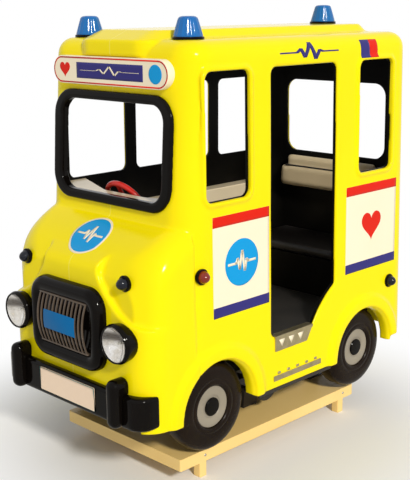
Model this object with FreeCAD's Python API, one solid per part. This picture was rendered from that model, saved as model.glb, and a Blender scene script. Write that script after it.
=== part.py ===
"""Coin-ride ambulance: a glass-fibre van body that rocks on a sheet-steel base.

The body is two half shells joined on the centre line, on a tube frame with
four turning wheels. A hinge behind lets the front rise, and a geared motor
turns the crank shaft under the floor. Millimetres, front faces -Y, the door is
on +X, +Z is up, and the origin is on the floor below the middle of the feet.
"""
import FreeCAD, Part
import math
import os

V = FreeCAD.Vector

# Body shell, the driving sizes
SHELL_BOTTOM = 268.0
ROOF_Z = 1517.0
HALF_WIDTH_LOW = 381.0
HALF_WIDTH_TOP = 369.0
FRONT_LOW = -480.0
FRONT_TOP = -399.0
REAR_LOW = 832.0
REAR_TOP = 815.0
CORNER_R = 98.0
ROOF_R = 60.0
SHELL_WALL = 12.0
LINING_WALL = 7.0

# Raised roof panel
RAISED_Z = 1546.0
RAISED_HALF = 172.0
RAISED_FRONT = -338.0
RAISED_REAR = 768.0
RAISED_SLOPE = 32.0
RAISED_FRONT_SLOPE = 80.0
RAISED_R = 62.0

# Nose and bonnet
NOSE_FRONT = -604.0
BONNET_REAR = (-420.0, 931.0)
CENTRE_FRONT = -624.0
CENTRE_EDGE_Z = 801.0
CENTRE_NOSE_R = 46.0
NOSE_CORNER_R = 98.0

# Nose sections from the cab forward, as (y, half width, top, corner radius)
NOSE_SECTIONS = ((-400.0, 379.0, 940.0, 96.0),
                 (-450.0, 379.0, 918.0, 96.0),
                 (-520.0, 377.0, 876.0, 104.0),
                 (-560.0, 361.0, 844.0, 112.0),
                 (-586.0, 330.0, 808.0, 108.0),
                 (NOSE_FRONT, 302.0, 770.0, 96.0))

# Edge of the proud centre panel on the left, as (x, z) from the top down
CENTRE_EDGE = ((205.0, 960.0), (196.0, 900.0), (172.0, 856.0), (146.0, 822.0), (142.0, 792.0),
               (158.0, 752.0), (190.0, 712.0), (236.0, 668.0), (300.0, 636.0), (386.0, 618.0))

# Raised lower edges of the body, under the bumper and behind the rear wheels
FRONT_APRON_Z = 290.0
FRONT_APRON_Y = -560.0
FRONT_APRON_HALF = 330.0
REAR_APRON_Z = 295.0
REAR_APRON_Y = 700.0

# Wheels and arches
WHEEL_R = 162.0
WHEEL_PLACES = {"front": (-292.0, 273.0), "rear": (529.0, 279.0)}
WHEEL_FACE_X = 350.0
TYRE_WIDTH = 100.0
TYRE_SHOULDER_R = 24.0
RIM_R = 74.0
RIM_GRIP = 6.0
HUB_DISH = 9.0
AXLE_CAP_R = 33.0
AXLE_CAP_T = 12.0
STUB_R = 10.0
ARCH_Z = 275.0
ARCH_R = 180.0
FLARE_PROUD = 13.0
FLARE_EDGE_R = 212.0
FLARE_FOOT_R = 292.0
SWOOSH_R = 370.0
SWOOSH_X = 300.0

# Openings in the side walls, as distances along Y and up Z
WINDOW_LOW = 998.0
WINDOW_TOP = 1418.0
FAR_WINDOW_TOP = 1320.0
WINDOW_R = 26.0
FRONT_WINDOW = (-344.0, -137.0)
REAR_WINDOW = (471.0, 680.0)
DOOR = (-22.0, 338.0)
DOOR_SILL = 462.0
FAR_WINDOWS = ((-335.0, -56.0), (-4.0, 408.0), (460.0, 680.0))
BACK_WINDOW_HALF = 260.0
BACK_WINDOW_TOP = 1307.0
BACK_WINDOW_R = 52.0
EDGE_SOFT = 8.0

# Windscreen and its frame
SCREEN_HALF = 262.0
SCREEN_LOW = 994.0
SCREEN_TOP = 1312.0
SCREEN_R = 58.0
FRAME_SIDE = 46.0
FRAME_RAIL = 33.0
FRAME_PROUD = 14.0
FRAME_LIP = 4.0
FRAME_ROUND = 8.0

# Name board over the windscreen
SIGN_HALF = 298.0
SIGN_R = 48.0
SIGN_Z = 1411.0
SIGN_FRONT = -430.0

# Grille
GRILLE_Z = 585.0
GRILLE_HALF = 190.0
GRILLE_HALF_H = 144.0
GRILLE_R = 74.0
GRILLE_FRONT = -662.0
GRILLE_ROUND = 24.0
GRILLE_DEEP = 80.0
GRILLE_MOUTH_HALF = 140.0
GRILLE_MOUTH_HALF_H = 110.0
GRILLE_MOUTH_R = 34.0
GRILLE_MOUTH_DRAFT = 9.0
GRILLE_MOUTH_DEPTH = 29.0
BAR_COUNT = 13
BAR_FIELD_HALF = 118.0
BAR_FIELD_HALF_H = 86.0
BAR_W = 6.0
BAR_DEEP = 8.0
BAR_BOW = 30.0
BAR_SET_BACK = 20.0
BAR_RAIL_H = 10.0
BADGE_HALF = 84.0
BADGE_LOW = 550.0
BADGE_TOP = 616.0
BADGE_T = 3.0

# Lamps
HEAD_X = 269.0
HEAD_Z = 575.0
HEAD_R = 68.0
HEAD_FRONT = -662.0
HEAD_DEEP = 78.0
HEAD_BOWL_R = 59.0
HEAD_BOWL_DEEP = 33.0
HEAD_BOWL_T = 3.0
LAMP_R = 27.0
LAMP_LONG = 38.0
LAMP_BASE_T = 5.0
TURN_X = 265.0
TURN_Z = 765.0
FRONT_MARKER = (-371.0, 761.0)
REAR_MARKER = (691.0, 532.0)

# Bumper, overriders and number plate
BUMPER_FRONT = -652.0
BUMPER_LOW = 290.0
BUMPER_TOP = 404.0
BUMPER_HALF = 376.0
BUMPER_R = 58.0
BUMPER_SOFT = 14.0
BUMPER_REACH = -566.0
OVERRIDER_X = 266.0
OVERRIDER_HALF = 27.0
OVERRIDER_FRONT = -688.0
OVERRIDER_DEEP = 90.0
OVERRIDER_LOW = 291.0
OVERRIDER_TOP = 456.0
OVERRIDER_SOFT = 24.0
PLATE_HALF = 150.0
PLATE_LOW = 310.0
PLATE_TOP = 393.0
PLATE_T = 3.0

# Step plates
TREAD_T = 3.0
TREAD_LOW = 408.0
TREAD_FRONT_Y = -8.0
TREAD_TOP_Y = 204.0
TREAD_LOW_Y = 170.0
STRIP_LOW = 296.0
STRIP_TOP = 316.0
STRIP_Y = (-15.0, 255.0)

# Beacons, as (x, y)
BEACONS = ((-252.0, -298.0), (252.0, -298.0), (0.0, 713.0))
BEACON_R = 49.0
BEACON_TOP_R = 31.0
BEACON_H = 74.0
RING_R = 53.0
RING_H = 9.0

# Cab floor and furniture
FLOOR_TOP = 455.0
FLOOR_T = 8.0
DASH_TOP = 990.0
DASH_SKIN = 12.0
FASCIA_LOW = 862.0
DASH_BAY_Y = -370.0
DASH_BAY_HALF = 108.0
DASH_WING_Y = -200.0
DASH_BAY_R = 70.0
BENCH_FRONT = 520.0
BENCH_TOP = 615.0
BENCH_LEFT = -268.0
CUSHION_T = 38.0
CUSHION_FRONT = 500.0
BACKREST_HALF = 270.0
BACKREST_UPPER_HALF = 238.0
BACKREST_LOW = 832.0
BACKREST_CREASE = 930.0
BACKREST_TOP = 990.0
BACKREST_DEEP = 54.0
BACKREST_UPPER_DEEP = 38.0
LOCKER_DEEP = 66.0
LOCKER_TOP = 870.0
LOCKER_Y = (-60.0, 655.0)
PANEL_T = 10.0
SOFT_GAP = 0.4

# Steering wheel
STEER_X = -60.0
STEER_Y = -308.0
STEER_Z = 936.0
STEER_TILT = 30.0
STEER_RIM_R = 92.0
STEER_TUBE_R = 10.0
STEER_HUB_R = 26.0
STEER_HUB_T = 22.0
STEER_SPOKE_R = 6.0
COLUMN_R = 18.0
COLUMN_LONG = 108.0
SPINDLE_R = 8.0
SPINDLE_LONG = 17.0
RUNNING_FIT = 0.05

# Frame under the floor
RAIL = 36.0
RAIL_X = 207.0
SILL_RAIL_X = 361.0
SILL_RAIL_H = 14.0
FRAME_FRONT = -560.0
FRAME_REAR = 780.0
SILL_RAIL_Y = (-88.0, 322.0)
CROSS_YS = (-530.0, -112.0, 247.0, 484.0, 760.0)
OUTRIGGER_YS = (-70.0, 300.0)
AXLE_HALF = 15.0
AXLE_BEAM_X = 236.0
POST_HALF = 14.0
OUTRIGGER_HALF = 9.0

# Hinge behind and its pedestals
HINGE_Y = 515.0
HINGE_Z = 165.0
HINGE_R = 12.5
LUG_T = 12.0
LUG_X = 106.0
PEDESTAL_X = 134.0
PEDESTAL_T = 14.0
EYE_R = 27.0

# Drive on the base
CRANK_Y = 100.0
CRANK_Z = 210.0
CRANK_SHAFT_R = 12.5
CRANK_DISC_R = 58.0
CRANK_DISC_T = 12.0
CRANK_DISC_X = 241.0
BEARING_X = 150.0
BEARING_T = 24.0
MOTOR_HALF_X = 85.0
MOTOR_Y = (38.0, 176.0)
MOTOR_TOP = 226.0

# Base pan and feet
PAN_HALF = 313.0
PAN_Y = (-420.0, 555.0)
PAN_LOW = 62.0
PAN_TOP = 106.0
PAN_SHEET = 3.0
PAN_FLANGE = 22.0
FOOT_HALF = 17.0
FOOT_X = 286.0
FOOT_YS = (-300.0, 490.0)
ORIGIN_Y = (FOOT_YS[0] + FOOT_YS[1]) / 2
FOOT_HOLE_R = 5.5
FOOT_HOLE_DEEP = 40.0

SIDES = {"left": 1, "right": -1}
SPAN = 500.0


# Shapes from outlines
def loop(corners, at):
    """Closed wire through (u, v, radius) corners, placed in space by at(u, v)."""
    count = len(corners)
    legs = []
    for i in range(count):
        u, v, radius = corners[i]
        before = corners[i - 1]
        after = corners[(i + 1) % count]
        into = (before[0] - u, before[1] - v)
        out = (after[0] - u, after[1] - v)
        into_long = math.hypot(*into)
        out_long = math.hypot(*out)
        into = (into[0] / into_long, into[1] / into_long)
        out = (out[0] / out_long, out[1] / out_long)
        if radius <= 0:
            legs.append(((u, v), None, (u, v)))
            continue
        half = math.acos(into[0] * out[0] + into[1] * out[1]) / 2
        reach = radius / math.tan(half)
        start = (u + into[0] * reach, v + into[1] * reach)
        end = (u + out[0] * reach, v + out[1] * reach)
        mid_dir = (into[0] + out[0], into[1] + out[1])
        mid_long = math.hypot(*mid_dir)
        gap = radius / math.sin(half) - radius
        middle = (u + mid_dir[0] / mid_long * gap, v + mid_dir[1] / mid_long * gap)
        legs.append((start, middle, end))
    edges = []
    for i in range(count):
        start, middle, end = legs[i]
        if middle:
            edges.append(Part.Arc(at(*start), at(*middle), at(*end)).toShape())
        following = legs[(i + 1) % count][0]
        if math.hypot(following[0] - end[0], following[1] - end[1]) > 1e-6:
            edges.append(Part.LineSegment(at(*end), at(*following)).toShape())
    return Part.Wire(edges)


def box_corners(u0, u1, v0, v1, radius=0.0):
    return [(u0, v0, radius), (u1, v0, radius), (u1, v1, radius), (u0, v1, radius)]


def prism(corners, at, along):
    return Part.Face(loop(corners, at)).extrude(along)


def block(x0, x1, y0, y1, z0, z1):
    return Part.makeBox(x1 - x0, y1 - y0, z1 - z0, V(x0, y0, z0))


def rod(radius, start, end):
    axis = end - start
    return Part.makeCylinder(radius, axis.Length, start, axis)


def turned(profile, centre, axis):
    """Solid of revolution: profile holds (distance along axis, radius, corner radius)."""
    along = V(axis).normalize()
    side = V(0, 0, 1) if abs(along.z) < 0.9 else V(1, 0, 0)
    across = along.cross(side).normalize()
    wire = loop(profile, lambda u, v: centre + along * u + across * v)
    return Part.Face(wire).revolve(centre, along, 360)


def joined(shapes):
    first = shapes[0]
    return first.fuse(list(shapes[1:])).removeSplitter() if len(shapes) > 1 else first


def soft_box(x0, x1, y0, y1, z0, z1, radius):
    solid = block(x0, x1, y0, y1, z0, z1)
    return solid.makeFillet(radius, solid.Edges)


def save(name, shape):
    solids = shape.Solids
    if not solids or not shape.isValid():
        raise RuntimeError(name + " is not a valid solid")
    kept = solids[0].copy() if len(solids) == 1 else Part.makeCompound(solids)
    kept.translate(V(0, -ORIGIN_Y, 0))
    kept.exportStep("parts/" + name + ".step")


# Body walls: where each face stands at height z
def share(z):
    return (z - SHELL_BOTTOM) / (ROOF_Z - SHELL_BOTTOM)


def half_width(z):
    return HALF_WIDTH_LOW + (HALF_WIDTH_TOP - HALF_WIDTH_LOW) * share(z)


def front_y(z):
    return FRONT_LOW + (FRONT_TOP - FRONT_LOW) * share(z)


def rear_y(z):
    return REAR_LOW + (REAR_TOP - REAR_LOW) * share(z)


def cabin(inset, low=SHELL_BOTTOM):
    """The drafted cab block with rounded corners, brought in by inset all round."""
    top = ROOF_Z - inset
    wires = []
    for z in (low, top):
        wide = half_width(z) - inset
        corners = box_corners(-wide, wide, front_y(z) + inset, rear_y(z) - inset, CORNER_R - inset)
        wires.append(loop(corners, lambda u, v, z=z: V(u, v, z)))
    solid = Part.makeLoft(wires, True, True)
    rim = [e for e in solid.Edges if e.BoundBox.ZMin > top - 1]
    return solid.makeFillet(ROOF_R - inset, rim)


def raised_roof():
    """The crowned centre panel of the roof, sloped on all four sides."""
    low_z = ROOF_Z - 4
    sunk_z = SIGN_Z + SIGN_R + 4
    low_corners = box_corners(-RAISED_HALF - RAISED_SLOPE, RAISED_HALF + RAISED_SLOPE,
                              RAISED_FRONT - RAISED_FRONT_SLOPE, RAISED_REAR + RAISED_SLOPE,
                              RAISED_R + RAISED_SLOPE)
    top_corners = box_corners(-RAISED_HALF, RAISED_HALF, RAISED_FRONT, RAISED_REAR, RAISED_R)
    low = loop(low_corners, lambda u, v: V(u, v, low_z))
    top = loop(top_corners, lambda u, v: V(u, v, RAISED_Z))
    slope = Part.makeLoft([low, top], True, True)
    root = prism(low_corners, lambda u, v: V(u, v, sunk_z), V(0, 0, low_z - sunk_z))
    return slope.fuse(root).removeSplitter()


def nose(inset, low=SHELL_BOTTOM):
    """Wings and bonnet as one smooth loft from the cab to the flat front."""
    rear = NOSE_SECTIONS[0][0]
    wires = []
    for y, half, top, radius in NOSE_SECTIONS:
        y_in = y + inset * (rear - y) / (rear - NOSE_FRONT)
        wide = half - inset
        corners = [(-wide, low, 0), (wide, low, 0),
                   (wide, top - inset, radius - inset), (-wide, top - inset, radius - inset)]
        wires.append(loop(corners, lambda u, v, y=y_in: V(u, y, v)))
    return Part.makeLoft(wires, True, False)


def bonnet_centre():
    """The proud middle of the nose, with S-shaped edges that sweep out above the lamps."""
    edge_x = CENTRE_EDGE[-1][0]
    edge_z = CENTRE_EDGE[-1][1]
    top_x = CENTRE_EDGE[0][0]
    top_z = CENTRE_EDGE[0][1]
    rear_y_here = BONNET_REAR[0]
    ahead = CENTRE_FRONT - 76
    side = [(rear_y_here, BONNET_REAR[1], 0), (rear_y_here, SHELL_BOTTOM, 0),
            (CENTRE_FRONT, SHELL_BOTTOM, 0), (CENTRE_FRONT, CENTRE_EDGE_Z, CENTRE_NOSE_R)]
    lengthwise = prism(side, lambda u, v: V(-edge_x, u, v), V(2 * edge_x, 0, 0))
    half = NOSE_SECTIONS[0][1]
    plan = prism(box_corners(-half, half, CENTRE_FRONT, rear_y_here + 2 * NOSE_CORNER_R, NOSE_CORNER_R),
                 lambda u, v: V(u, v, SHELL_BOTTOM), V(0, 0, top_z - SHELL_BOTTOM))
    curve = Part.BSplineCurve()
    curve.interpolate([V(x, ahead, z) for x, z in CENTRE_EDGE])
    edge = curve.toShape()
    mirrored = edge.mirror(V(0, 0, 0), V(1, 0, 0))
    foot_left = V(edge_x, ahead, SHELL_BOTTOM)
    foot_right = V(-edge_x, ahead, SHELL_BOTTOM)
    wire = Part.Wire([edge, Part.LineSegment(V(edge_x, ahead, edge_z), foot_left).toShape(),
                      Part.LineSegment(foot_left, foot_right).toShape(),
                      Part.LineSegment(foot_right, V(-edge_x, ahead, edge_z)).toShape(),
                      mirrored, Part.LineSegment(V(-top_x, ahead, top_z), V(top_x, ahead, top_z)).toShape()])
    front = Part.Face(wire).extrude(V(0, rear_y_here - ahead, 0))
    return lengthwise.common(plan).common(front)


def at_arches():
    """Centre of each wheel arch on the plane x = 0, with the side it opens to."""
    return [(sign, V(0, y, ARCH_Z)) for sign in SIDES.values() for y, _ in WHEEL_PLACES.values()]


def flares():
    """Swollen wings round the four arches, following the body's own surface."""
    skin = cabin(-FLARE_PROUD).fuse(nose(-FLARE_PROUD))
    foot_x = HALF_WIDTH_TOP - 2 * FLARE_PROUD
    reach = HALF_WIDTH_LOW + FLARE_PROUD + 2 - foot_x
    rings = []
    for sign, centre in at_arches():
        start = centre + V(sign * foot_x, 0, 0)
        rings.append(Part.makeCone(FLARE_FOOT_R, FLARE_EDGE_R, reach, start, V(sign, 0, 0)))
    level = block(-SPAN, SPAN, CENTRE_FRONT, 2 * SPAN, SHELL_BOTTOM, ROOF_Z)
    return skin.common(Part.makeCompound(rings)).common(level)


def aprons():
    """Room cut from the lower edge under the bumper and behind the rear wheels."""
    return [block(-FRONT_APRON_HALF, FRONT_APRON_HALF, CENTRE_FRONT - 1, FRONT_APRON_Y,
                  SHELL_BOTTOM - 1, FRONT_APRON_Z),
            block(-SPAN, SPAN, REAR_APRON_Y, REAR_LOW + 1, SHELL_BOTTOM - 1, REAR_APRON_Z)]


def body_form():
    form = cabin(0).fuse([raised_roof(), nose(0), bonnet_centre(), flares()]).removeSplitter()
    return form.cut(aprons())


def hollow():
    low = SHELL_BOTTOM - 60
    return cabin(SHELL_WALL, low).fuse(nose(SHELL_WALL, low))


# Openings
def side_opening(sign, corners, depth, eased):
    """A hole through one side wall, with its outer edge eased in two steps."""
    def wire(grow, out):
        grown = grow_corners(corners, grow)
        return loop(grown, lambda u, v: V(sign * (half_width(v) + out), u, v))
    straight = Part.Face(wire(0, 4)).extrude(V(-sign * depth, 0, 0))
    if not eased:
        return straight
    steps = [wire(0, -EDGE_SOFT), wire(EDGE_SOFT * 0.3, -EDGE_SOFT * 0.35), wire(EDGE_SOFT, 0.6)]
    return Part.makeLoft(steps, True, True).fuse(straight)


def grow_corners(corners, grow):
    """Move a convex outline out by grow, its round corners included."""
    middle_u = sum(c[0] for c in corners) / len(corners)
    middle_v = sum(c[1] for c in corners) / len(corners)
    grown = []
    for u, v, radius in corners:
        grown.append((u + math.copysign(grow, u - middle_u), v + math.copysign(grow, v - middle_v),
                      radius + grow if radius else 0))
    return grown


def swoosh(sign):
    """The round of the rear wing, which also cuts the door opening's lower corner."""
    start = V(sign * SWOOSH_X, WHEEL_PLACES["rear"][0], ARCH_Z)
    return Part.makeCylinder(SWOOSH_R, SPAN - SWOOSH_X, start, V(sign, 0, 0))


def door_hole(depth, eased):
    corners = box_corners(DOOR[0], DOOR[1], DOOR_SILL, WINDOW_TOP, WINDOW_R)
    return side_opening(1, corners, depth, eased)


def window_holes(depth, eased):
    holes = []
    for low, high in (FRONT_WINDOW, REAR_WINDOW):
        corners = box_corners(low, high, WINDOW_LOW, WINDOW_TOP, WINDOW_R)
        holes.append(side_opening(1, corners, depth, eased))
    holes.append(door_hole(depth, eased).cut(swoosh(1)))
    for low, high in FAR_WINDOWS:
        corners = box_corners(low, high, WINDOW_LOW, FAR_WINDOW_TOP, WINDOW_R)
        holes.append(side_opening(-1, corners, depth, eased))
    back = box_corners(-BACK_WINDOW_HALF, BACK_WINDOW_HALF, WINDOW_LOW, BACK_WINDOW_TOP, BACK_WINDOW_R)
    holes.append(prism(back, lambda u, v: V(u, REAR_LOW + 20, v), V(0, -depth - 30, 0)))
    screen = grow_corners(screen_corners(), FRAME_LIP)
    holes.append(prism(screen, lambda u, v: V(u, FRONT_LOW - 20, v), V(0, 160, 0)))
    return holes


def screen_corners():
    return box_corners(-SCREEN_HALF, SCREEN_HALF, SCREEN_LOW, SCREEN_TOP, SCREEN_R)


def arch_holes():
    return [Part.makeCylinder(ARCH_R, SPAN, centre, V(sign, 0, 0)) for sign, centre in at_arches()]


def shell():
    walls = body_form().cut(hollow())
    walls = walls.cut(window_holes(60, True) + arch_holes())
    halves = {}
    for side, sign in SIDES.items():
        ends = sorted((0, sign * SPAN))
        halves[side] = walls.common(block(ends[0], ends[1], -2 * SPAN, 2 * SPAN, 0, 4 * SPAN))
    return halves


def lining():
    """Black inner skin of the cab, from the floor to the roof, open below the dashboard."""
    outer = cabin(SHELL_WALL)
    inner = cabin(SHELL_WALL + LINING_WALL, SHELL_BOTTOM - 20)
    skin = outer.cut(inner)
    skin = skin.cut(block(-SPAN, SPAN, -2 * SPAN, 2 * SPAN, 0, FLOOR_TOP))
    skin = skin.cut(block(-SPAN, SPAN, -2 * SPAN, FRONT_LOW + 110, 0, FASCIA_LOW))
    return skin.cut(window_holes(70, False))


# Front trim
def screen_frame():
    """Thick black bead round the windscreen, with a lip through the wall."""
    inner = screen_corners()
    outer = box_corners(-SCREEN_HALF - FRAME_SIDE, SCREEN_HALF + FRAME_SIDE,
                        SCREEN_LOW - FRAME_RAIL, SCREEN_TOP + FRAME_RAIL, SCREEN_R + FRAME_RAIL)
    def on_face(out):
        return lambda u, v: V(u, front_y(v) - out, v)
    bead = prism(outer, on_face(0), V(0, -FRAME_PROUD, 0))
    bead = bead.cut(prism(inner, on_face(-4), V(0, -FRAME_PROUD - 8, 0)))
    front = [e for e in bead.Edges if e.BoundBox.YMax < front_y(e.BoundBox.ZMax) - FRAME_PROUD + 0.5]
    bead = bead.makeFillet(FRAME_ROUND, front)
    wall = SHELL_WALL + LINING_WALL
    lip = prism(grow_corners(inner, FRAME_LIP), on_face(-wall), V(0, -wall, 0))
    lip = lip.cut(prism(inner, on_face(-wall - 4), V(0, -80, 0)))
    return joined([bead, lip])


def sign_board(form):
    corners = box_corners(-SIGN_HALF, SIGN_HALF, SIGN_Z - SIGN_R, SIGN_Z + SIGN_R, SIGN_R - 0.01)
    board = prism(corners, lambda u, v: V(u, SIGN_FRONT, v), V(0, 60, 0))
    rim = [e for e in board.Edges if e.BoundBox.YMax < SIGN_FRONT + 0.5]
    board = board.makeFillet(3.0, rim)
    return largest(board.cut(form))


def largest(shape):
    return max(shape.Solids, key=lambda solid: solid.Volume)


def grille_surround(form):
    """Deep rounded shell round the grille, closed behind the bars."""
    outer = box_corners(-GRILLE_HALF, GRILLE_HALF, GRILLE_Z - GRILLE_HALF_H, GRILLE_Z + GRILLE_HALF_H,
                        GRILLE_R)
    ring = prism(outer, lambda u, v: V(u, GRILLE_FRONT, v), V(0, GRILLE_DEEP, 0))
    rim = [e for e in ring.Edges if e.BoundBox.YMax < GRILLE_FRONT + 0.5]
    ring = ring.makeFillet(GRILLE_ROUND, rim)
    mouth = box_corners(-GRILLE_MOUTH_HALF, GRILLE_MOUTH_HALF, GRILLE_Z - GRILLE_MOUTH_HALF_H,
                        GRILLE_Z + GRILLE_MOUTH_HALF_H, GRILLE_MOUTH_R)
    wide = grow_corners(mouth, GRILLE_MOUTH_DRAFT)
    cut = Part.makeLoft([loop(wide, lambda u, v: V(u, GRILLE_FRONT - 1, v)),
                         loop(mouth, lambda u, v: V(u, GRILLE_FRONT + GRILLE_MOUTH_DEPTH, v))], True, True)
    return largest(ring.cut(cut).cut(form))


def bowed(z0, z1, bow, deep, back):
    """Side outline of a strip that bows forward between z0 and z1, as a face in the YZ plane."""
    middle = (z0 + z1) / 2
    ends = (V(0, back, z0), V(0, back, z1))
    near = Part.Arc(ends[0], V(0, back - bow, middle), ends[1]).toShape()
    lift = V(0, deep, 0)
    far = Part.Arc(ends[0] + lift, V(0, back - bow + deep, middle), ends[1] + lift).toShape()
    bottom = Part.LineSegment(ends[0], ends[0] + lift).toShape()
    top = Part.LineSegment(ends[1], ends[1] + lift).toShape()
    return Part.Face(Part.Wire([bottom, far, top, near]))


def grille_bars():
    """Thirteen bowed bars between a top and a bottom rail."""
    back = GRILLE_FRONT + BAR_SET_BACK
    z0 = GRILLE_Z - BAR_FIELD_HALF_H
    z1 = GRILLE_Z + BAR_FIELD_HALF_H
    bar = bowed(z0, z1, BAR_BOW, BAR_DEEP, back)
    pitch = 2 * BAR_FIELD_HALF / (BAR_COUNT - 1)
    pieces = []
    for i in range(BAR_COUNT):
        x = -BAR_FIELD_HALF + i * pitch
        one = bar.copy()
        one.translate(V(x - BAR_W / 2, 0, 0))
        pieces.append(one.extrude(V(BAR_W, 0, 0)))
    wide = BAR_FIELD_HALF + BAR_W / 2
    foot = GRILLE_FRONT + GRILLE_MOUTH_DEPTH
    for z in (z0, z1):
        pieces.append(block(-wide, wide, back - 1, foot, z - BAR_RAIL_H / 2, z + BAR_RAIL_H / 2))
    return joined(pieces)


def grille_plate():
    """Blank plate that follows the bars' bow."""
    back = GRILLE_FRONT + BAR_SET_BACK
    strip = bowed(GRILLE_Z - BAR_FIELD_HALF_H, GRILLE_Z + BAR_FIELD_HALF_H, BAR_BOW, BADGE_T, back)
    strip.translate(V(-BADGE_HALF, -BADGE_T, 0))
    sheet = strip.extrude(V(2 * BADGE_HALF, 0, 0))
    return sheet.common(block(-BADGE_HALF, BADGE_HALF, -800, -500, BADGE_LOW, BADGE_TOP))


def headlamp(sign, form, surround):
    """Housing and bright bowl of one headlamp, on the nose and against the grille surround."""
    centre = V(sign * HEAD_X, HEAD_FRONT, HEAD_Z)
    barrel = [(0, 0, 0), (0, HEAD_R - 6, 0), (8, HEAD_R, 5), (HEAD_DEEP, HEAD_R - 10, 0), (HEAD_DEEP, 0, 0)]
    body = turned(barrel, centre, V(0, 1, 0))
    bowl = [(-1, 0, 0), (-1, HEAD_BOWL_R, 0), (3, HEAD_BOWL_R, 0),
            (HEAD_BOWL_DEEP * 0.6, HEAD_BOWL_R * 0.62, 30), (HEAD_BOWL_DEEP, 12, 0), (HEAD_BOWL_DEEP, 0, 0)]
    cavity = turned(bowl, centre, V(0, 1, 0))
    housing = largest(body.cut(cavity).cut(form).cut(surround))
    skin = [(3, HEAD_BOWL_R - HEAD_BOWL_T, 0), (3, HEAD_BOWL_R, 0),
            (HEAD_BOWL_DEEP * 0.6, HEAD_BOWL_R * 0.62, 30), (HEAD_BOWL_DEEP, 12, 0), (HEAD_BOWL_DEEP, 0, 0),
            (HEAD_BOWL_DEEP - HEAD_BOWL_T, 0, 0), (HEAD_BOWL_DEEP - HEAD_BOWL_T, 12 - HEAD_BOWL_T, 0),
            (HEAD_BOWL_DEEP * 0.6 - HEAD_BOWL_T, HEAD_BOWL_R * 0.62 - HEAD_BOWL_T, 30)]
    return housing, turned(skin, centre, V(0, 1, 0))


def dome_lamp(base, out, form):
    """Small pointed lamp on a thin base, seated on the body."""
    profile = [(-30, 0, 0), (-30, LAMP_R, 0), (LAMP_BASE_T, LAMP_R, 2), (LAMP_BASE_T, LAMP_R - 4, 0),
               (LAMP_LONG * 0.62, LAMP_R - 10, 12), (LAMP_LONG, 5, 4), (LAMP_LONG, 0, 0)]
    return largest(turned(profile, base, out).cut(form))


def bumper(form):
    plan = [(-BUMPER_HALF, BUMPER_REACH, 0), (-BUMPER_HALF, BUMPER_FRONT, BUMPER_R),
            (BUMPER_HALF, BUMPER_FRONT, BUMPER_R), (BUMPER_HALF, BUMPER_REACH, 0)]
    bar = prism(plan, lambda u, v: V(u, v, BUMPER_LOW), V(0, 0, BUMPER_TOP - BUMPER_LOW))
    outer = [e for e in bar.Edges if e.BoundBox.ZLength < 1 and e.BoundBox.YMin < BUMPER_REACH - 1]
    bar = bar.makeFillet(BUMPER_SOFT, outer)
    return bar.cut(form)


def overrider(sign, bar, form):
    x = sign * OVERRIDER_X
    solid = soft_box(x - OVERRIDER_HALF, x + OVERRIDER_HALF, OVERRIDER_FRONT,
                     OVERRIDER_FRONT + OVERRIDER_DEEP, OVERRIDER_LOW, OVERRIDER_TOP, OVERRIDER_SOFT)
    return largest(solid.cut(bar).cut(form))


def number_plate():
    return prism(box_corners(-PLATE_HALF, PLATE_HALF, PLATE_LOW, PLATE_TOP, 5),
                 lambda u, v: V(u, BUMPER_FRONT - PLATE_T, v), V(0, PLATE_T, 0))


# Side trim
def door_tread(form):
    """Folded tread plate over the sill of the door opening."""
    top = DOOR_SILL + TREAD_T
    face = [(TREAD_FRONT_Y, TREAD_LOW, 4), (TREAD_LOW_Y, TREAD_LOW, 4), (TREAD_TOP_Y, top, 0),
            (TREAD_FRONT_Y, top, 0)]
    reach = half_width(DOOR_SILL) + TREAD_T
    drop = prism(face, lambda u, v: V(half_width(v) + TREAD_T, u, v), V(-30, 0, 0))
    ledge = block(reach - SHELL_WALL - LINING_WALL, reach, TREAD_FRONT_Y, TREAD_TOP_Y,
                  DOOR_SILL - EDGE_SOFT, top)
    return largest(drop.fuse(ledge).cut(form.cut(door_hole(60, True))))


def rocker_strip():
    return prism(box_corners(STRIP_Y[0], STRIP_Y[1], STRIP_LOW, STRIP_TOP, 3),
                 lambda u, v: V(half_width(v), u, v), V(TREAD_T, 0, 0))


# Roof lamps
def beacon(x, y, form):
    foot_z = RAISED_Z if abs(x) < RAISED_HALF else ROOF_Z
    foot = V(x, y, foot_z)
    ring = turned([(-20, 0, 0), (-20, RING_R, 0), (RING_H, RING_R, 3), (RING_H, 0, 0)], foot, V(0, 0, 1))
    dome = turned([(RING_H, 0, 0), (RING_H, BEACON_R, 0), (BEACON_H - 6, BEACON_TOP_R + 2, 12),
                   (BEACON_H, 0, 0)], foot, V(0, 0, 1))
    return largest(ring.cut(form)), dome


# Cab furniture
def cab_space():
    return cabin(SHELL_WALL + LINING_WALL)


def floor_panel():
    sheet = block(-SPAN, SPAN, -2 * SPAN, 2 * SPAN, FLOOR_TOP - FLOOR_T, FLOOR_TOP)
    return largest(sheet.common(hollow()))


def dashboard(column):
    """Cream shelf with a bay for the driver and wings along both sides."""
    plan = [(-SPAN, DASH_WING_Y, 0), (-DASH_BAY_HALF, DASH_BAY_Y, DASH_BAY_R),
            (DASH_BAY_HALF, DASH_BAY_Y, DASH_BAY_R), (SPAN, DASH_WING_Y, 0),
            (SPAN, FRONT_LOW - 20, 0), (-SPAN, FRONT_LOW - 20, 0)]
    outer = prism(plan, lambda u, v: V(u, v, FASCIA_LOW), V(0, 0, DASH_TOP - FASCIA_LOW))
    under = prism(plan, lambda u, v: V(u, v - DASH_SKIN * 1.2, FASCIA_LOW - 5),
                  V(0, 0, DASH_TOP - DASH_SKIN - FASCIA_LOW + 5))
    return largest(outer.cut(under).common(cab_space()).cut(column))


def steer_axis():
    tilt = math.radians(STEER_TILT)
    return V(0, math.cos(tilt), math.sin(tilt))


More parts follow.
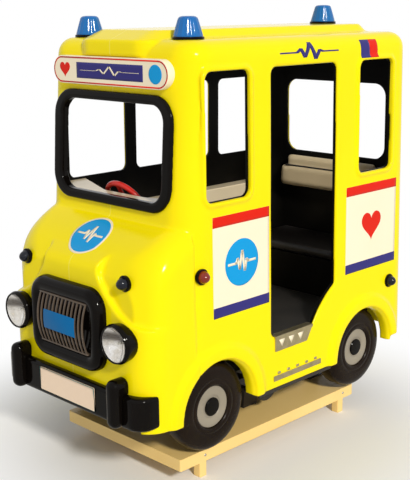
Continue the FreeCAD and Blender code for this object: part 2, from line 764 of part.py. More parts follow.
def steering_column():
    hub = V(STEER_X, STEER_Y, STEER_Z)
    back = steer_axis() * -1
    tube = rod(COLUMN_R, hub + back * (STEER_HUB_T / 2 + 1), hub + back * COLUMN_LONG)
    tip = hub + back * (STEER_HUB_T / 2 - SPINDLE_LONG)
    spindle = rod(SPINDLE_R, hub + back * (STEER_HUB_T / 2 + 2), tip)
    return joined([tube, spindle])


def steering_wheel():
    hub = V(STEER_X, STEER_Y, STEER_Z)
    axis = steer_axis()
    up = V(0, -axis.z, axis.y)
    rim = Part.makeTorus(STEER_RIM_R, STEER_TUBE_R, hub, axis)
    boss = rod(STEER_HUB_R, hub - axis * (STEER_HUB_T / 2), hub + axis * (STEER_HUB_T / 2))
    spokes = []
    for turn in (90, 210, 330):
        angle = math.radians(turn)
        out = V(math.cos(angle), 0, 0) + up * math.sin(angle)
        spokes.append(rod(STEER_SPOKE_R, hub, hub + out * STEER_RIM_R))
    end = hub + axis * (SPINDLE_LONG - STEER_HUB_T / 2 + 1)
    bore = rod(SPINDLE_R + RUNNING_FIT, hub - axis * STEER_HUB_T, end)
    return joined([rim, boss] + spokes).cut(bore)


def side_locker():
    """Cream locker front and lid along the wall opposite the door."""
    wall_x = -half_width(LOCKER_TOP) + SHELL_WALL + LINING_WALL
    inner_x = wall_x + LOCKER_DEEP
    outer = block(wall_x - 40, inner_x, LOCKER_Y[0], LOCKER_Y[1], FLOOR_TOP, LOCKER_TOP)
    inner = block(wall_x - 60, inner_x - PANEL_T, LOCKER_Y[0] + PANEL_T, LOCKER_Y[1] - PANEL_T,
                  FLOOR_TOP - 1, LOCKER_TOP - PANEL_T)
    return largest(outer.cut(inner).common(cab_space()))


def bench_base():
    back = rear_y(BENCH_TOP) - SHELL_WALL - LINING_WALL
    outer = block(BENCH_LEFT, SPAN, BENCH_FRONT, back + 20, FLOOR_TOP, BENCH_TOP)
    inner = block(BENCH_LEFT + PANEL_T, SPAN + 20, BENCH_FRONT + PANEL_T, back + 40,
                  FLOOR_TOP - 1, BENCH_TOP - PANEL_T)
    return largest(outer.cut(inner).common(cab_space()))


def bench_cushion():
    high = BENCH_TOP + SOFT_GAP + CUSHION_T
    right = half_width(high) - SHELL_WALL - LINING_WALL - SOFT_GAP
    back = rear_y(high) - SHELL_WALL - LINING_WALL - SOFT_GAP
    solid = block(BENCH_LEFT, right, CUSHION_FRONT, back, BENCH_TOP + SOFT_GAP, high)
    front = [e for e in solid.Edges if e.BoundBox.YMax < CUSHION_FRONT + 1]
    solid = solid.makeFillet(12.0, front)
    return largest(solid.common(cab_space()))


def backrest():
    """Two padded rolls, the upper one shorter and set back."""
    back = rear_y(BACKREST_TOP) - SHELL_WALL - LINING_WALL - SOFT_GAP
    lower = soft_box(-BACKREST_HALF, BACKREST_HALF, back - BACKREST_DEEP, back,
                     BACKREST_LOW, BACKREST_CREASE + 4, 20)
    upper = soft_box(-BACKREST_UPPER_HALF, BACKREST_UPPER_HALF, back - BACKREST_UPPER_DEEP, back,
                     BACKREST_CREASE - 6, BACKREST_TOP, 16)
    return joined([lower, upper])


# Frame under the floor
def tube_box(x, y, half_x, half_y, z0, z1):
    return block(x - half_x, x + half_x, y - half_y, y + half_y, z0, z1)


def chassis_rails():
    """Main rails notched for the axles, and a short rail under each sill."""
    half = RAIL / 2
    low = SHELL_BOTTOM - RAIL
    rails = []
    for sign in SIDES.values():
        x = sign * RAIL_X
        main_rail = block(x - half, x + half, FRAME_FRONT, FRAME_REAR, low, SHELL_BOTTOM)
        for y, z in WHEEL_PLACES.values():
            main_rail = main_rail.cut(axle_beam(y, z))
        rails.append(main_rail)
        x = sign * SILL_RAIL_X
        rails.append(block(x - half, x + half, SILL_RAIL_Y[0], SILL_RAIL_Y[1],
                           SHELL_BOTTOM - SILL_RAIL_H, SHELL_BOTTOM))
    return Part.makeCompound(rails)


def cross_members():
    """Square cross tubes between the main rails, and outriggers to the sill rails."""
    half = RAIL / 2
    low = SHELL_BOTTOM - RAIL
    inner = RAIL_X - half
    tubes = [block(-inner, inner, y - half, y + half, low, SHELL_BOTTOM) for y in CROSS_YS]
    reach = (SILL_RAIL_X - RAIL_X) / 2 - half
    for sign in SIDES.values():
        x = sign * (RAIL_X + SILL_RAIL_X) / 2
        for y in OUTRIGGER_YS:
            tubes.append(tube_box(x, y, reach, OUTRIGGER_HALF, SHELL_BOTTOM - SILL_RAIL_H, SHELL_BOTTOM))
    return Part.makeCompound(tubes)


def floor_posts():
    """Short posts that carry the cab floor on the main rails."""
    posts = [tube_box(sign * RAIL_X, y, POST_HALF, POST_HALF, SHELL_BOTTOM, FLOOR_TOP - FLOOR_T)
             for sign in SIDES.values() for y in CROSS_YS]
    return Part.makeCompound(posts)


def hinge_lugs():
    """Two lugs below the rear cross tube, bored for the hinge shaft."""
    lugs = []
    bore = rod(HINGE_R + RUNNING_FIT, V(-PAN_HALF, HINGE_Y, HINGE_Z), V(PAN_HALF, HINGE_Y, HINGE_Z))
    top = SHELL_BOTTOM - RAIL
    plate = [(HINGE_Y - EYE_R * 2, top, 0), (HINGE_Y - EYE_R, HINGE_Z - EYE_R, EYE_R * 0.8),
             (HINGE_Y + EYE_R, HINGE_Z - EYE_R, EYE_R * 0.8), (HINGE_Y + EYE_R, top, 0)]
    for sign in SIDES.values():
        side = sign * LUG_X - LUG_T / 2
        lugs.append(prism(plate, lambda u, v, x=side: V(x, u, v), V(LUG_T, 0, 0)).cut(bore))
    return Part.makeCompound(lugs)


def axle_beam(y, z):
    return tube_box(0, y, AXLE_BEAM_X, AXLE_HALF, z - AXLE_HALF, z + AXLE_HALF)


def axle(y, z):
    """Square beam in the rails' notches with a round stub for each wheel."""
    reach = WHEEL_FACE_X - HUB_DISH + 1
    return joined([axle_beam(y, z), rod(STUB_R, V(-reach, y, z), V(reach, y, z))])


def axle_cap(sign, y, z):
    start = WHEEL_FACE_X - HUB_DISH + 1
    profile = [(0, 0, 0), (0, AXLE_CAP_R, 0), (AXLE_CAP_T, AXLE_CAP_R - 3, 4), (AXLE_CAP_T, 0, 0)]
    return turned(profile, V(sign * start, y, z), V(sign, 0, 0))


def tyre(sign, y, z):
    """Moulded tyre with round shoulders and a step where the rim sits."""
    inner = WHEEL_FACE_X - TYRE_WIDTH
    profile = [(0, RIM_R, 0), (0, WHEEL_R - 8, TYRE_SHOULDER_R), (TYRE_WIDTH * 0.22, WHEEL_R, 10),
               (TYRE_WIDTH * 0.78, WHEEL_R, 10), (TYRE_WIDTH, WHEEL_R - 8, TYRE_SHOULDER_R),
               (TYRE_WIDTH, RIM_R + RIM_GRIP, 6), (TYRE_WIDTH - 8, RIM_R, 0)]
    return turned(profile, V(sign * inner, y, z), V(sign, 0, 0))


def hub(sign, y, z):
    """Dished disc with a central boss that runs on the stub."""
    inner = WHEEL_FACE_X - TYRE_WIDTH
    face = TYRE_WIDTH - HUB_DISH
    profile = [(6, STUB_R + RUNNING_FIT, 0), (6, 26, 3), (face - 16, 26, 4), (face - 12, RIM_R, 0),
               (face, RIM_R, 0), (face, AXLE_CAP_R + 8, 3), (face - 4, AXLE_CAP_R + 4, 3),
               (face - 4, STUB_R + RUNNING_FIT, 0)]
    return turned(profile, V(sign * inner, y, z), V(sign, 0, 0))


# Base with its hinge and drive
def base_pan():
    """Folded sheet tray, open below, with a return flange round its foot."""
    outer = block(-PAN_HALF, PAN_HALF, PAN_Y[0], PAN_Y[1], PAN_LOW, PAN_TOP)
    upright = [e for e in outer.Edges if e.BoundBox.ZLength > 1]
    outer = outer.makeFillet(6, upright)
    inner = block(-PAN_HALF + PAN_SHEET, PAN_HALF - PAN_SHEET, PAN_Y[0] + PAN_SHEET, PAN_Y[1] - PAN_SHEET,
                  PAN_LOW + PAN_SHEET, PAN_TOP - PAN_SHEET)
    mouth = block(-PAN_HALF + PAN_FLANGE, PAN_HALF - PAN_FLANGE, PAN_Y[0] + PAN_FLANGE,
                  PAN_Y[1] - PAN_FLANGE, PAN_LOW - 1, PAN_LOW + PAN_SHEET + 1)
    pan = outer.cut(inner).cut(mouth)
    for x, y in foot_places():
        pan = pan.cut(tube_box(x, y, FOOT_HALF, FOOT_HALF, 0, PAN_TOP - PAN_SHEET))
    return pan


def foot_places():
    return [(sign * FOOT_X, y) for sign in SIDES.values() for y in FOOT_YS]


def foot(x, y):
    """Square post up to the pan's top sheet, bored from below for a floor anchor."""
    post = tube_box(x, y, FOOT_HALF, FOOT_HALF, 0, PAN_TOP - PAN_SHEET)
    upright = [e for e in post.Edges if e.BoundBox.ZLength > 1]
    post = post.makeFillet(3, upright)
    return post.cut(Part.makeCylinder(FOOT_HOLE_R, FOOT_HOLE_DEEP, V(x, y, 0)))


def pedestal(sign):
    x = sign * PEDESTAL_X
    plate = [(HINGE_Y - 44, PAN_TOP, 0), (HINGE_Y + 38, PAN_TOP, 0),
             (HINGE_Y + EYE_R, HINGE_Z + EYE_R, EYE_R * 0.8),
             (HINGE_Y - EYE_R, HINGE_Z + EYE_R, EYE_R * 0.8)]
    upright = prism(plate, lambda u, v: V(x - PEDESTAL_T / 2, u, v), V(PEDESTAL_T, 0, 0))
    foot_plate = block(x - 22, x + 22, HINGE_Y - 44, HINGE_Y + 38, PAN_TOP, PAN_TOP + 6)
    bore = rod(HINGE_R + RUNNING_FIT, V(x - 40, HINGE_Y, HINGE_Z), V(x + 40, HINGE_Y, HINGE_Z))
    return joined([upright, foot_plate]).cut(bore)


def hinge_shaft():
    reach = PEDESTAL_X + PEDESTAL_T / 2 + 8
    return rod(HINGE_R, V(-reach, HINGE_Y, HINGE_Z), V(reach, HINGE_Y, HINGE_Z))


def crank_bore():
    return rod(CRANK_SHAFT_R + RUNNING_FIT, V(-PAN_HALF, CRANK_Y, CRANK_Z), V(PAN_HALF, CRANK_Y, CRANK_Z))


def drive_bearing(sign):
    x = sign * BEARING_X
    plate = [(CRANK_Y - 40, PAN_TOP, 0), (CRANK_Y + 40, PAN_TOP, 0),
             (CRANK_Y + 27, CRANK_Z + 27, 22), (CRANK_Y - 27, CRANK_Z + 27, 22)]
    upright = prism(plate, lambda u, v: V(x - BEARING_T / 2, u, v), V(BEARING_T, 0, 0))
    return upright.cut(crank_bore())


def gearmotor():
    solid = block(-MOTOR_HALF_X, MOTOR_HALF_X, MOTOR_Y[0], MOTOR_Y[1], PAN_TOP, MOTOR_TOP)
    return solid.cut(crank_bore())


def drive_crank():
    """Cross shaft with a crank disc at each end."""
    reach = CRANK_DISC_X + CRANK_DISC_T / 2
    pieces = [rod(CRANK_SHAFT_R, V(-reach, CRANK_Y, CRANK_Z), V(reach, CRANK_Y, CRANK_Z))]
    for sign in SIDES.values():
        inner = V(sign * CRANK_DISC_X - CRANK_DISC_T / 2, CRANK_Y, CRANK_Z)
        pieces.append(Part.makeCylinder(CRANK_DISC_R, CRANK_DISC_T, inner, V(1, 0, 0)))
    return joined(pieces)


def main():
    os.makedirs("parts", exist_ok=True)
    form = body_form()
    halves = shell()
    save("shell_left", halves["left"])
    save("shell_right", halves["right"])
    save("cab_lining", lining())
    save("windscreen_frame", screen_frame())
    save("sign_board", sign_board(form))
    surround = grille_surround(form)
    save("grille_surround", surround)
    save("grille_bars", grille_bars())
    save("grille_plate", grille_plate())
    lamps = [headlamp(sign, form, surround) for sign in SIDES.values()]
    save("headlamp_housings", Part.makeCompound([lamp[0] for lamp in lamps]))
    save("headlamp_bowls", Part.makeCompound([lamp[1] for lamp in lamps]))
    turns = [dome_lamp(V(sign * TURN_X, NOSE_FRONT, TURN_Z), V(0, -1, 0), form) for sign in SIDES.values()]
    save("turn_lamps", Part.makeCompound(turns))
    for name, place in (("front_markers", FRONT_MARKER), ("rear_markers", REAR_MARKER)):
        y, z = place
        pair = [dome_lamp(V(sign * half_width(z), y, z), V(sign, 0, 0), form) for sign in SIDES.values()]
        save(name, Part.makeCompound(pair))
    bar = bumper(form)
    save("bumper", bar)
    save("overriders", Part.makeCompound([overrider(sign, bar, form) for sign in SIDES.values()]))
    save("number_plate", number_plate())
    save("door_tread", door_tread(form))
    save("rocker_strip", rocker_strip())
    lights = [beacon(x, y, form) for x, y in BEACONS]
    save("beacon_rings", Part.makeCompound([light[0] for light in lights]))
    save("beacon_domes", Part.makeCompound([light[1] for light in lights]))
    column = steering_column()
    save("steering_column", column)
    save("dashboard", dashboard(column))
    save("steering_wheel", steering_wheel())
    save("side_locker", side_locker())
    save("bench_base", bench_base())
    save("bench_cushion", bench_cushion())
    save("bench_backrest", backrest())
    save("floor_panel", floor_panel())
    save("chassis_rails", chassis_rails())
    save("cross_members", cross_members())
    save("floor_posts", floor_posts())
    save("hinge_lugs", hinge_lugs())
    caps = []
    for end, (y, z) in WHEEL_PLACES.items():
        for side, sign in SIDES.items():
            save(end + "_" + side + "_tyre", tyre(sign, y, z))
            save(end + "_" + side + "_hub", hub(sign, y, z))
            caps.append(axle_cap(sign, y, z))
    save("axles", Part.makeCompound([axle(y, z) for y, z in WHEEL_PLACES.values()]))
    save("axle_caps", Part.makeCompound(caps))
    save("base_pan", base_pan())
    save("base_feet", Part.makeCompound([foot(x, y) for x, y in foot_places()]))
    save("hinge_pedestals", Part.makeCompound([pedestal(sign) for sign in SIDES.values()]))
    save("hinge_shaft", hinge_shaft())
    save("drive_bearings", Part.makeCompound([drive_bearing(sign) for sign in SIDES.values()]))
    save("gearmotor", gearmotor())
    save("drive_crank", drive_crank())


main()
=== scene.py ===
# %% [markdown]
# # A coin-ride ambulance
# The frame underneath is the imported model: one solid for every real piece, each on the body it
# moves with. Here every visible piece gets its real surface: a gel-coated glass-fibre shell with
# soft moulded edges, black trims, chrome lamps, printed film, padded vinyl and powder-coated steel.

# %% Load the frame
import math

import bmesh
import bpy
from mathutils import Matrix, Vector
from mathutils.bvhtree import BVHTree


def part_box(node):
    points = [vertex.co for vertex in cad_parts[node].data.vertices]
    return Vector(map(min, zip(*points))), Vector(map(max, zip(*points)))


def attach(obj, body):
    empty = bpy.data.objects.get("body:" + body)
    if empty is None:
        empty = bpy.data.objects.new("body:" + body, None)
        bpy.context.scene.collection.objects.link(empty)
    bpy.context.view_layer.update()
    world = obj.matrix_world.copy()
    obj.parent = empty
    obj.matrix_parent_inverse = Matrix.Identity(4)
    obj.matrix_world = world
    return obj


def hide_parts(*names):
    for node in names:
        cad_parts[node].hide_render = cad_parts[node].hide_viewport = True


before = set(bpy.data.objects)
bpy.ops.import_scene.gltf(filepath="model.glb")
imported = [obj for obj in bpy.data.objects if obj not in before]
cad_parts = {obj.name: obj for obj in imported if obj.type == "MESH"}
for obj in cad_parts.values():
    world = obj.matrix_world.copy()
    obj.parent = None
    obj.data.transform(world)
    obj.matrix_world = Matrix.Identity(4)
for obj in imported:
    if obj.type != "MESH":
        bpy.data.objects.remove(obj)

scene = bpy.context.scene
scene.view_settings.view_transform = "Standard"
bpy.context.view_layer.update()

# %% [markdown]
# ## Camera
# The ride is seen from its front corner, a little above the bonnet. A camera is placed by the
# direction it looks back along, its distance and a small roll, which gives the four columns of
# its matrix directly.

# %% Camera
AZIMUTH, ELEVATION, ROLL = (math.radians(a) for a in (45.12, 13.37, -0.56))
AIM_POINT, DISTANCE, FOCAL_LENGTH = Vector((0.0207, -0.0949, 0.7626)), 3.7187, 73.99
back = Vector((math.sin(AZIMUTH) * math.cos(ELEVATION),
               -math.cos(AZIMUTH) * math.cos(ELEVATION), math.sin(ELEVATION)))
level = Vector((math.cos(AZIMUTH), math.sin(AZIMUTH), 0))
rise = back.cross(level)
right = level * math.cos(ROLL) + rise * math.sin(ROLL)
up = rise * math.cos(ROLL) - level * math.sin(ROLL)
eye = AIM_POINT + back * DISTANCE
lens = bpy.data.cameras.new("camera")
lens.sensor_fit = "VERTICAL"
lens.sensor_height = 36
lens.lens = FOCAL_LENGTH
lens.clip_end = 100
camera = bpy.data.objects.new("camera", lens)
scene.collection.objects.link(camera)
camera.matrix_world = Matrix(((right.x, up.x, back.x, eye.x), (right.y, up.y, back.y, eye.y),
                              (right.z, up.z, back.z, eye.z), (0, 0, 0, 1)))
scene.camera = camera
print("eye height", round(eye.z, 3))

# %% [markdown]
# ## Light and floor
# One broad low sun stands beyond the door side, so that side and the top of the base are bright
# and the front lies in a mild shade. The sky fills the rest. It is plain white to the camera, to
# mirrors and to glass, and gives a weaker light to the paint, so that colours keep their depth.
# Sky, floor and finishes are all trees of nodes, so one helper adds a node, sets it and feeds it.

# %% Node helper
def add_node(tree, kind, inputs=None, **settings):
    """Add a shader node. An input gets a value, or a link where a socket feeds it."""
    made = tree.nodes.new("ShaderNode" + kind)
    for name, value in settings.items():
        setattr(made, name, value)
    for name, value in (inputs or {}).items():
        if isinstance(value, bpy.types.NodeSocket):
            tree.links.new(value, made.inputs[name])
        else:
            made.inputs[name].default_value = value
    return made


# %% Sun and sky
SUN_STRENGTH, SUN_TILT, SUN_TURN, SUN_WIDTH = 2.6, math.radians(58), math.radians(68), math.radians(7)
SKY_ON_PAINT = 0.40
sun = bpy.data.lights.new("sun", "SUN")
sun.energy = SUN_STRENGTH
sun.angle = SUN_WIDTH
sun.color = (1.0, 0.96, 0.88)
sun_object = bpy.data.objects.new("sun", sun)
sun_object.rotation_euler = (SUN_TILT, 0, SUN_TURN)
scene.collection.objects.link(sun_object)
world = bpy.data.worlds.new("sky")
scene.world = world
world.use_nodes = True
sky = world.node_tree
rays = add_node(sky, "LightPath").outputs
seen = rays["Is Camera Ray"]
for kind in ("Is Glossy Ray", "Is Transmission Ray"):
    seen = add_node(sky, "Math", {0: seen, 1: rays[kind]}, operation="MAXIMUM").outputs[0]
strength = add_node(sky, "MapRange", {"Value": seen, "To Min": SKY_ON_PAINT, "To Max": 1.0})
sky_light = sky.nodes["Background"]
sky_light.inputs["Color"].default_value = (1.0, 1.0, 1.0, 1)
sky.links.new(strength.outputs["Result"], sky_light.inputs["Strength"])
print("sun", SUN_STRENGTH, "sky on paint", SKY_ON_PAINT)

# %% Floor that keeps the shadow near the ride and turns plain white further out
FADE_FROM, FADE_TO = 0.55, 1.35
bm = bmesh.new()
bmesh.ops.create_grid(bm, x_segments=1, y_segments=1, size=40)
floor_mesh = bpy.data.meshes.new("floor")
bm.to_mesh(floor_mesh)
bm.free()
floor = bpy.data.objects.new("floor", floor_mesh)
scene.collection.objects.link(floor)
floor_paint = bpy.data.materials.new("floor_pale")
floor_paint.use_nodes = True
tree = floor_paint.node_tree
matt = tree.nodes["Principled BSDF"]
matt.inputs["Base Color"].default_value = (0.9, 0.9, 0.9, 1)
matt.inputs["Roughness"].default_value = 0.9
matt.inputs["Specular IOR Level"].default_value = 0.1
white = add_node(tree, "Emission")
spot = add_node(tree, "TexCoord").outputs["Object"]
far = add_node(tree, "VectorMath", {0: spot}, operation="LENGTH")
fade = add_node(tree, "MapRange", {"Value": far.outputs["Value"], "From Min": FADE_FROM, "From Max": FADE_TO},
                interpolation_type="SMOOTHSTEP")
to_camera = add_node(tree, "LightPath").outputs["Is Camera Ray"]
share = add_node(tree, "Math", {0: fade.outputs["Result"], 1: to_camera}, operation="MULTIPLY")
blend = add_node(tree, "MixShader", {"Fac": share.outputs[0], 1: matt.outputs[0], 2: white.outputs[0]})
tree.links.new(blend.outputs[0], tree.nodes["Material Output"].inputs["Surface"])
floor_mesh.materials.append(floor_paint)
print("floor turns white from", FADE_FROM, "to", FADE_TO, "m")

# %% [markdown]
# ## Finishes
# A real surface is never one flat colour. Two effects are shared by most finishes here, so each
# is a node group: a cloudy tint that shifts the colour a little, and a fine relief that feeds a
# bump. Each finish sets its own scale and amount.

# %% Shared effects
def new_group(name, numbers, colours, outputs):
    """An empty shader group with named inputs and outputs."""
    made = bpy.data.node_groups.new(name, "ShaderNodeTree")
    sockets = made.interface
    for label, value in colours.items():
        sockets.new_socket(label, in_out="INPUT", socket_type="NodeSocketColor").default_value = value
    for label, value in numbers.items():
        sockets.new_socket(label, in_out="INPUT", socket_type="NodeSocketFloat").default_value = value
    for label, kind in outputs.items():
        sockets.new_socket(label, in_out="OUTPUT", socket_type=kind)
    return made, made.nodes.new("NodeGroupInput").outputs, made.nodes.new("NodeGroupOutput").inputs


cloudy, given, result = new_group("cloudy_tint", {"Scale": 3.0, "Amount": 0.2},
                                  {"Colour": (1, 1, 1, 1), "Tint": (0.5, 0.5, 0.5, 1)},
                                  {"Colour": "NodeSocketColor", "Mask": "NodeSocketFloat"})
spot = add_node(cloudy, "TexCoord").outputs["Object"]
noise = add_node(cloudy, "TexNoise", {"Vector": spot, "Scale": given["Scale"], "Detail": 5})
spread = add_node(cloudy, "MapRange", {"Value": noise.outputs["Fac"], "From Min": 0.42, "From Max": 0.72})
amount = add_node(cloudy, "Math", {0: spread.outputs["Result"], 1: given["Amount"]}, operation="MULTIPLY")
mix = add_node(cloudy, "Mix", {"Factor": amount.outputs[0], "A": given["Colour"], "B": given["Tint"]},
               data_type="RGBA")
cloudy.links.new(mix.outputs["Result"], result["Colour"])
cloudy.links.new(amount.outputs[0], result["Mask"])

relief, given, result = new_group("fine_relief", {"Scale": 60.0, "Roughness": 0.5, "Stretch": 1.0}, {},
                                  {"Height": "NodeSocketFloat"})
spot = add_node(relief, "TexCoord").outputs["Object"]
pull = add_node(relief, "CombineXYZ", {"X": 1, "Y": given["Stretch"], "Z": 1})
drawn = add_node(relief, "VectorMath", {0: spot, 1: pull.outputs[0]}, operation="MULTIPLY")
noise = add_node(relief, "TexNoise", {"Vector": drawn.outputs[0], "Scale": given["Scale"],
                                      "Roughness": given["Roughness"], "Detail": 4})
relief.links.new(noise.outputs["Fac"], result["Height"])
print("shared effects", cloudy.name, relief.name)


# %% One maker for every opaque finish
def surface(name, colour, tint, rough, relief_scale=60.0, relief_deep=0.1, tint_scale=4.0,
            tint_amount=0.3, metallic=0.0, coat=0.0, stretch=1.0, rough_swing=0.08, shine=0.3):
    """A finish whose colour, gloss and relief all shift a little over the surface."""
    made = bpy.data.materials.new(name)
    made.use_nodes = True
    tree = made.node_tree
    shader = tree.nodes["Principled BSDF"].inputs
    shader["Metallic"].default_value = metallic
    shader["Specular IOR Level"].default_value = 0.5 if metallic else shine
    shader["Coat Weight"].default_value = coat
    shader["Coat Roughness"].default_value = 0.04
    tone = add_node(tree, "Group", {"Colour": (*colour, 1), "Tint": (*tint, 1), "Scale": tint_scale,
                                    "Amount": tint_amount}, node_tree=cloudy)
    gloss = add_node(tree, "MapRange", {"Value": tone.outputs["Mask"], "To Min": rough,
                                        "To Max": rough + rough_swing})
    skin = add_node(tree, "Group", {"Scale": relief_scale, "Stretch": stretch}, node_tree=relief)
    bump = add_node(tree, "Bump", {"Height": skin.outputs["Height"], "Strength": relief_deep,
                                   "Distance": 0.001})
    tree.links.new(tone.outputs["Colour"], shader["Base Color"])
    tree.links.new(gloss.outputs["Result"], shader["Roughness"])
    tree.links.new(bump.outputs["Normal"], shader["Normal"])
    return made


def banded(finish, axis, middle, near, far, strength, colour, fall="LINEAR"):
    """Lay a second colour over a finish, in a band about one height along one axis."""
    tree = finish.node_tree
    base = tree.nodes["Principled BSDF"].inputs["Base Color"]
    parts = add_node(tree, "SeparateXYZ", {0: add_node(tree, "TexCoord").outputs["Object"]})
    drop = add_node(tree, "Math", {0: parts.outputs[axis], 1: middle}, operation="SUBTRACT")
    gap = add_node(tree, "Math", {0: drop.outputs[0]}, operation="ABSOLUTE")
    band = add_node(tree, "MapRange", {"Value": gap.outputs[0], "From Min": near, "From Max": far,
                                       "To Min": strength, "To Max": 0.0}, interpolation_type=fall)
    over = add_node(tree, "Mix", {"Factor": band.outputs["Result"], "A": base.links[0].from_socket,
                                  "B": (*colour, 1)}, data_type="RGBA")
    tree.links.new(over.outputs["Result"], base)


# %% [markdown]
# ## Gel coat
# The shell is sprayed glass fibre: a very even lemon yellow, glossy, with the long lazy waves of
# a hand-laid moulding. Its two halves meet on the centre line, where a thin bead of filler shows
# a little paler. The bead is a band in the colour, wherever x is near zero.

# %% Yellow shell finish
YELLOW = (0.955, 0.790, 0.003)
gel_yellow = surface("gel_yellow", YELLOW, (0.92, 0.74, 0.002), 0.13, relief_scale=9.0, relief_deep=0.22,
                     tint_scale=2.5, tint_amount=0.5, rough_swing=0.06, shine=0.1)
banded(gel_yellow, "X", 0.0, 0.0006, 0.0018, 0.55, (1.0, 0.95, 0.25))
print("gel coat", gel_yellow.name)

# %% The other finishes
cab_black = surface("cab_black", (0.0028, 0.0026, 0.0022), (0.009, 0.008, 0.006), 0.45, 90, 0.35, 6, 0.5,
                    shine=0.08)
trim_black = surface("trim_black", (0.003, 0.0022, 0.0018), (0.007, 0.0055, 0.0045), 0.07, 25, 0.06, 5, 0.4,
                     rough_swing=0.05, shine=0.09)
grille_black = surface("grille_black", (0.085, 0.062, 0.045), (0.14, 0.105, 0.075), 0.34, 150, 0.1, 20, 0.5)
tyre_black = surface("tyre_black", (0.009, 0.005, 0.003), (0.018, 0.011, 0.007), 0.24, 120, 0.12, 9, 0.5,
                     shine=0.09)
hub_grey = surface("hub_grey", (0.30, 0.265, 0.21), (0.24, 0.21, 0.16), 0.42, 180, 0.12, 14, 0.5)
chrome = surface("chrome", (0.90, 0.88, 0.85), (0.75, 0.73, 0.7), 0.06, 40, 0.02, 12, 0.3, metallic=1.0,
                 rough_swing=0.05)
# The warm brown in the tread steel colour and tint is partly a painted reflection of the yellow shell.
tread_steel = surface("tread_steel", (0.47, 0.40, 0.24), (0.30, 0.25, 0.13), 0.28, 300, 0.2, 40, 0.6,
                      metallic=1.0, stretch=0.1)
bare_steel = surface("bare_steel", (0.45, 0.43, 0.4), (0.3, 0.28, 0.25), 0.35, 220, 0.15, 18, 0.5,
                     metallic=1.0)
frame_paint = surface("frame_paint", (0.025, 0.021, 0.018), (0.05, 0.04, 0.03), 0.38, 130, 0.25, 11, 0.5)
base_cream = surface("base_cream", (0.93, 0.66, 0.25), (0.86, 0.58, 0.20), 0.34, 260, 0.18, 5, 0.5)
cab_cream = surface("cab_cream", (0.74, 0.63, 0.44), (0.66, 0.55, 0.37), 0.28, 70, 0.12, 5, 0.5, coat=0.15)
floor_rubber = surface("floor_rubber", (0.015, 0.014, 0.013), (0.04, 0.036, 0.03), 0.55, 160, 0.4, 8, 0.5)
motor_grey = surface("motor_grey", (0.2, 0.2, 0.2), (0.13, 0.13, 0.13), 0.5, 140, 0.4, 10, 0.5)
FILMS = (("film_white", (0.93, 0.83, 0.63), (0.90, 0.80, 0.58), 5, 0.15),
         ("film_red", (0.72, 0.014, 0.003), (0.64, 0.012, 0.002), 6, 0.12),
         ("film_navy", (0.034, 0.030, 0.19), (0.028, 0.024, 0.16), 6, 0.12),
         ("film_blue", (0.004, 0.33, 0.74), (0.003, 0.29, 0.67), 6, 0.12))
film_white, film_red, film_navy, film_blue = [
    surface(name, colour, tint, 0.24, 50, 0.03, tint_scale, 0.4, shine=shine)
    for name, colour, tint, tint_scale, shine in FILMS]
plate_blue = surface("plate_blue", (0.002, 0.14, 0.38), (0.0015, 0.115, 0.32), 0.30, 80, 0.06, 8, 0.4,
                     shine=0.08)
plate_pale = surface("plate_pale", (0.92, 0.72, 0.54), (0.86, 0.66, 0.49), 0.28, 60, 0.05, 7, 0.4)
plate_edge = surface("plate_edge", (0.03, 0.16, 0.17), (0.02, 0.1, 0.1), 0.3, 60, 0.05, 9, 0.4)
wheel_red = surface("wheel_red", (0.62, 0.02, 0.012), (0.5, 0.015, 0.01), 0.2, 80, 0.1, 10, 0.4, coat=0.2)
print("finishes", len(bpy.data.materials))


# %% [markdown]
# ## Clear and coloured lenses
# The beacons are blue acrylic over a bright inner reflector, and the lamps have a clear glass.
# Acrylic lets light through, so it is a transmitting shader with the dye in its base colour.

# %% Lens finishes
ACRYLIC_IOR = 1.46


def lens_finish(name, colour, rough, through, coat=0.3):
    """A finish that lets light through, with its dye in the base colour."""
    made = surface(name, colour, tuple(c * 0.8 for c in colour), rough, 30, 0.03, 20, 0.3, coat=coat,
                   rough_swing=0.03)
    shader = made.node_tree.nodes["Principled BSDF"]
    shader.inputs["Transmission Weight"].default_value = through
    shader.inputs["IOR"].default_value = ACRYLIC_IOR
    return made


beacon_blue = lens_finish("beacon_blue", (0.002, 0.15, 0.50), 0.13, 0.12, coat=0.1)
clear_glass = lens_finish("clear_glass", (0.97, 0.97, 0.97), 0.02, 1.0, coat=0.0)
smoked_lens = lens_finish("smoked_lens", (0.004, 0.006, 0.014), 0.06, 0.1, coat=0.1)
amber_lens = lens_finish("amber_lens", (0.24, 0.018, 0.006), 0.07, 0.2)
bulb_glow = surface("bulb_glow", (0.9, 0.86, 0.76), (0.8, 0.75, 0.65), 0.12, 60, 0.05, 30, 0.3)
print("finishes with lenses", len(bpy.data.materials))

# %% [markdown]
# ## Helpers for making pieces
# A piece is drawn in a bmesh and then handed to one function that shades it, gives it its finish
# and sets it on its body. A turned piece starts as a chain of vertices, each drawn
# out of the last, which is then spun about an axis. A hard piece is a bevelled copy of its frame
# node. A soft one is rebuilt as voxels and relaxed, or bridged from rounded loops.

# %% Piece helpers
made_now = []


def tell(title):
    """Print how many pieces and faces were made since the last call."""
    print(title, len(made_now), "pieces,", sum(made_now), "faces")
    made_now.clear()


def piece(name, bm, material, body, sharp=35):
    """Turn a bmesh into a shaded object that rides on its body."""
    mesh = bpy.data.meshes.new(name)
    bm.to_mesh(mesh)
    bm.free()
    mesh.polygons.foreach_set("use_smooth", [True] * len(mesh.polygons))
    mesh.set_sharp_from_angle(angle=math.radians(sharp))
    made = bpy.data.objects.new(name, mesh)
    scene.collection.objects.link(made)
    mesh.materials.append(material)
    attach(made, body)
    made_now.append(len(mesh.polygons))
    return made


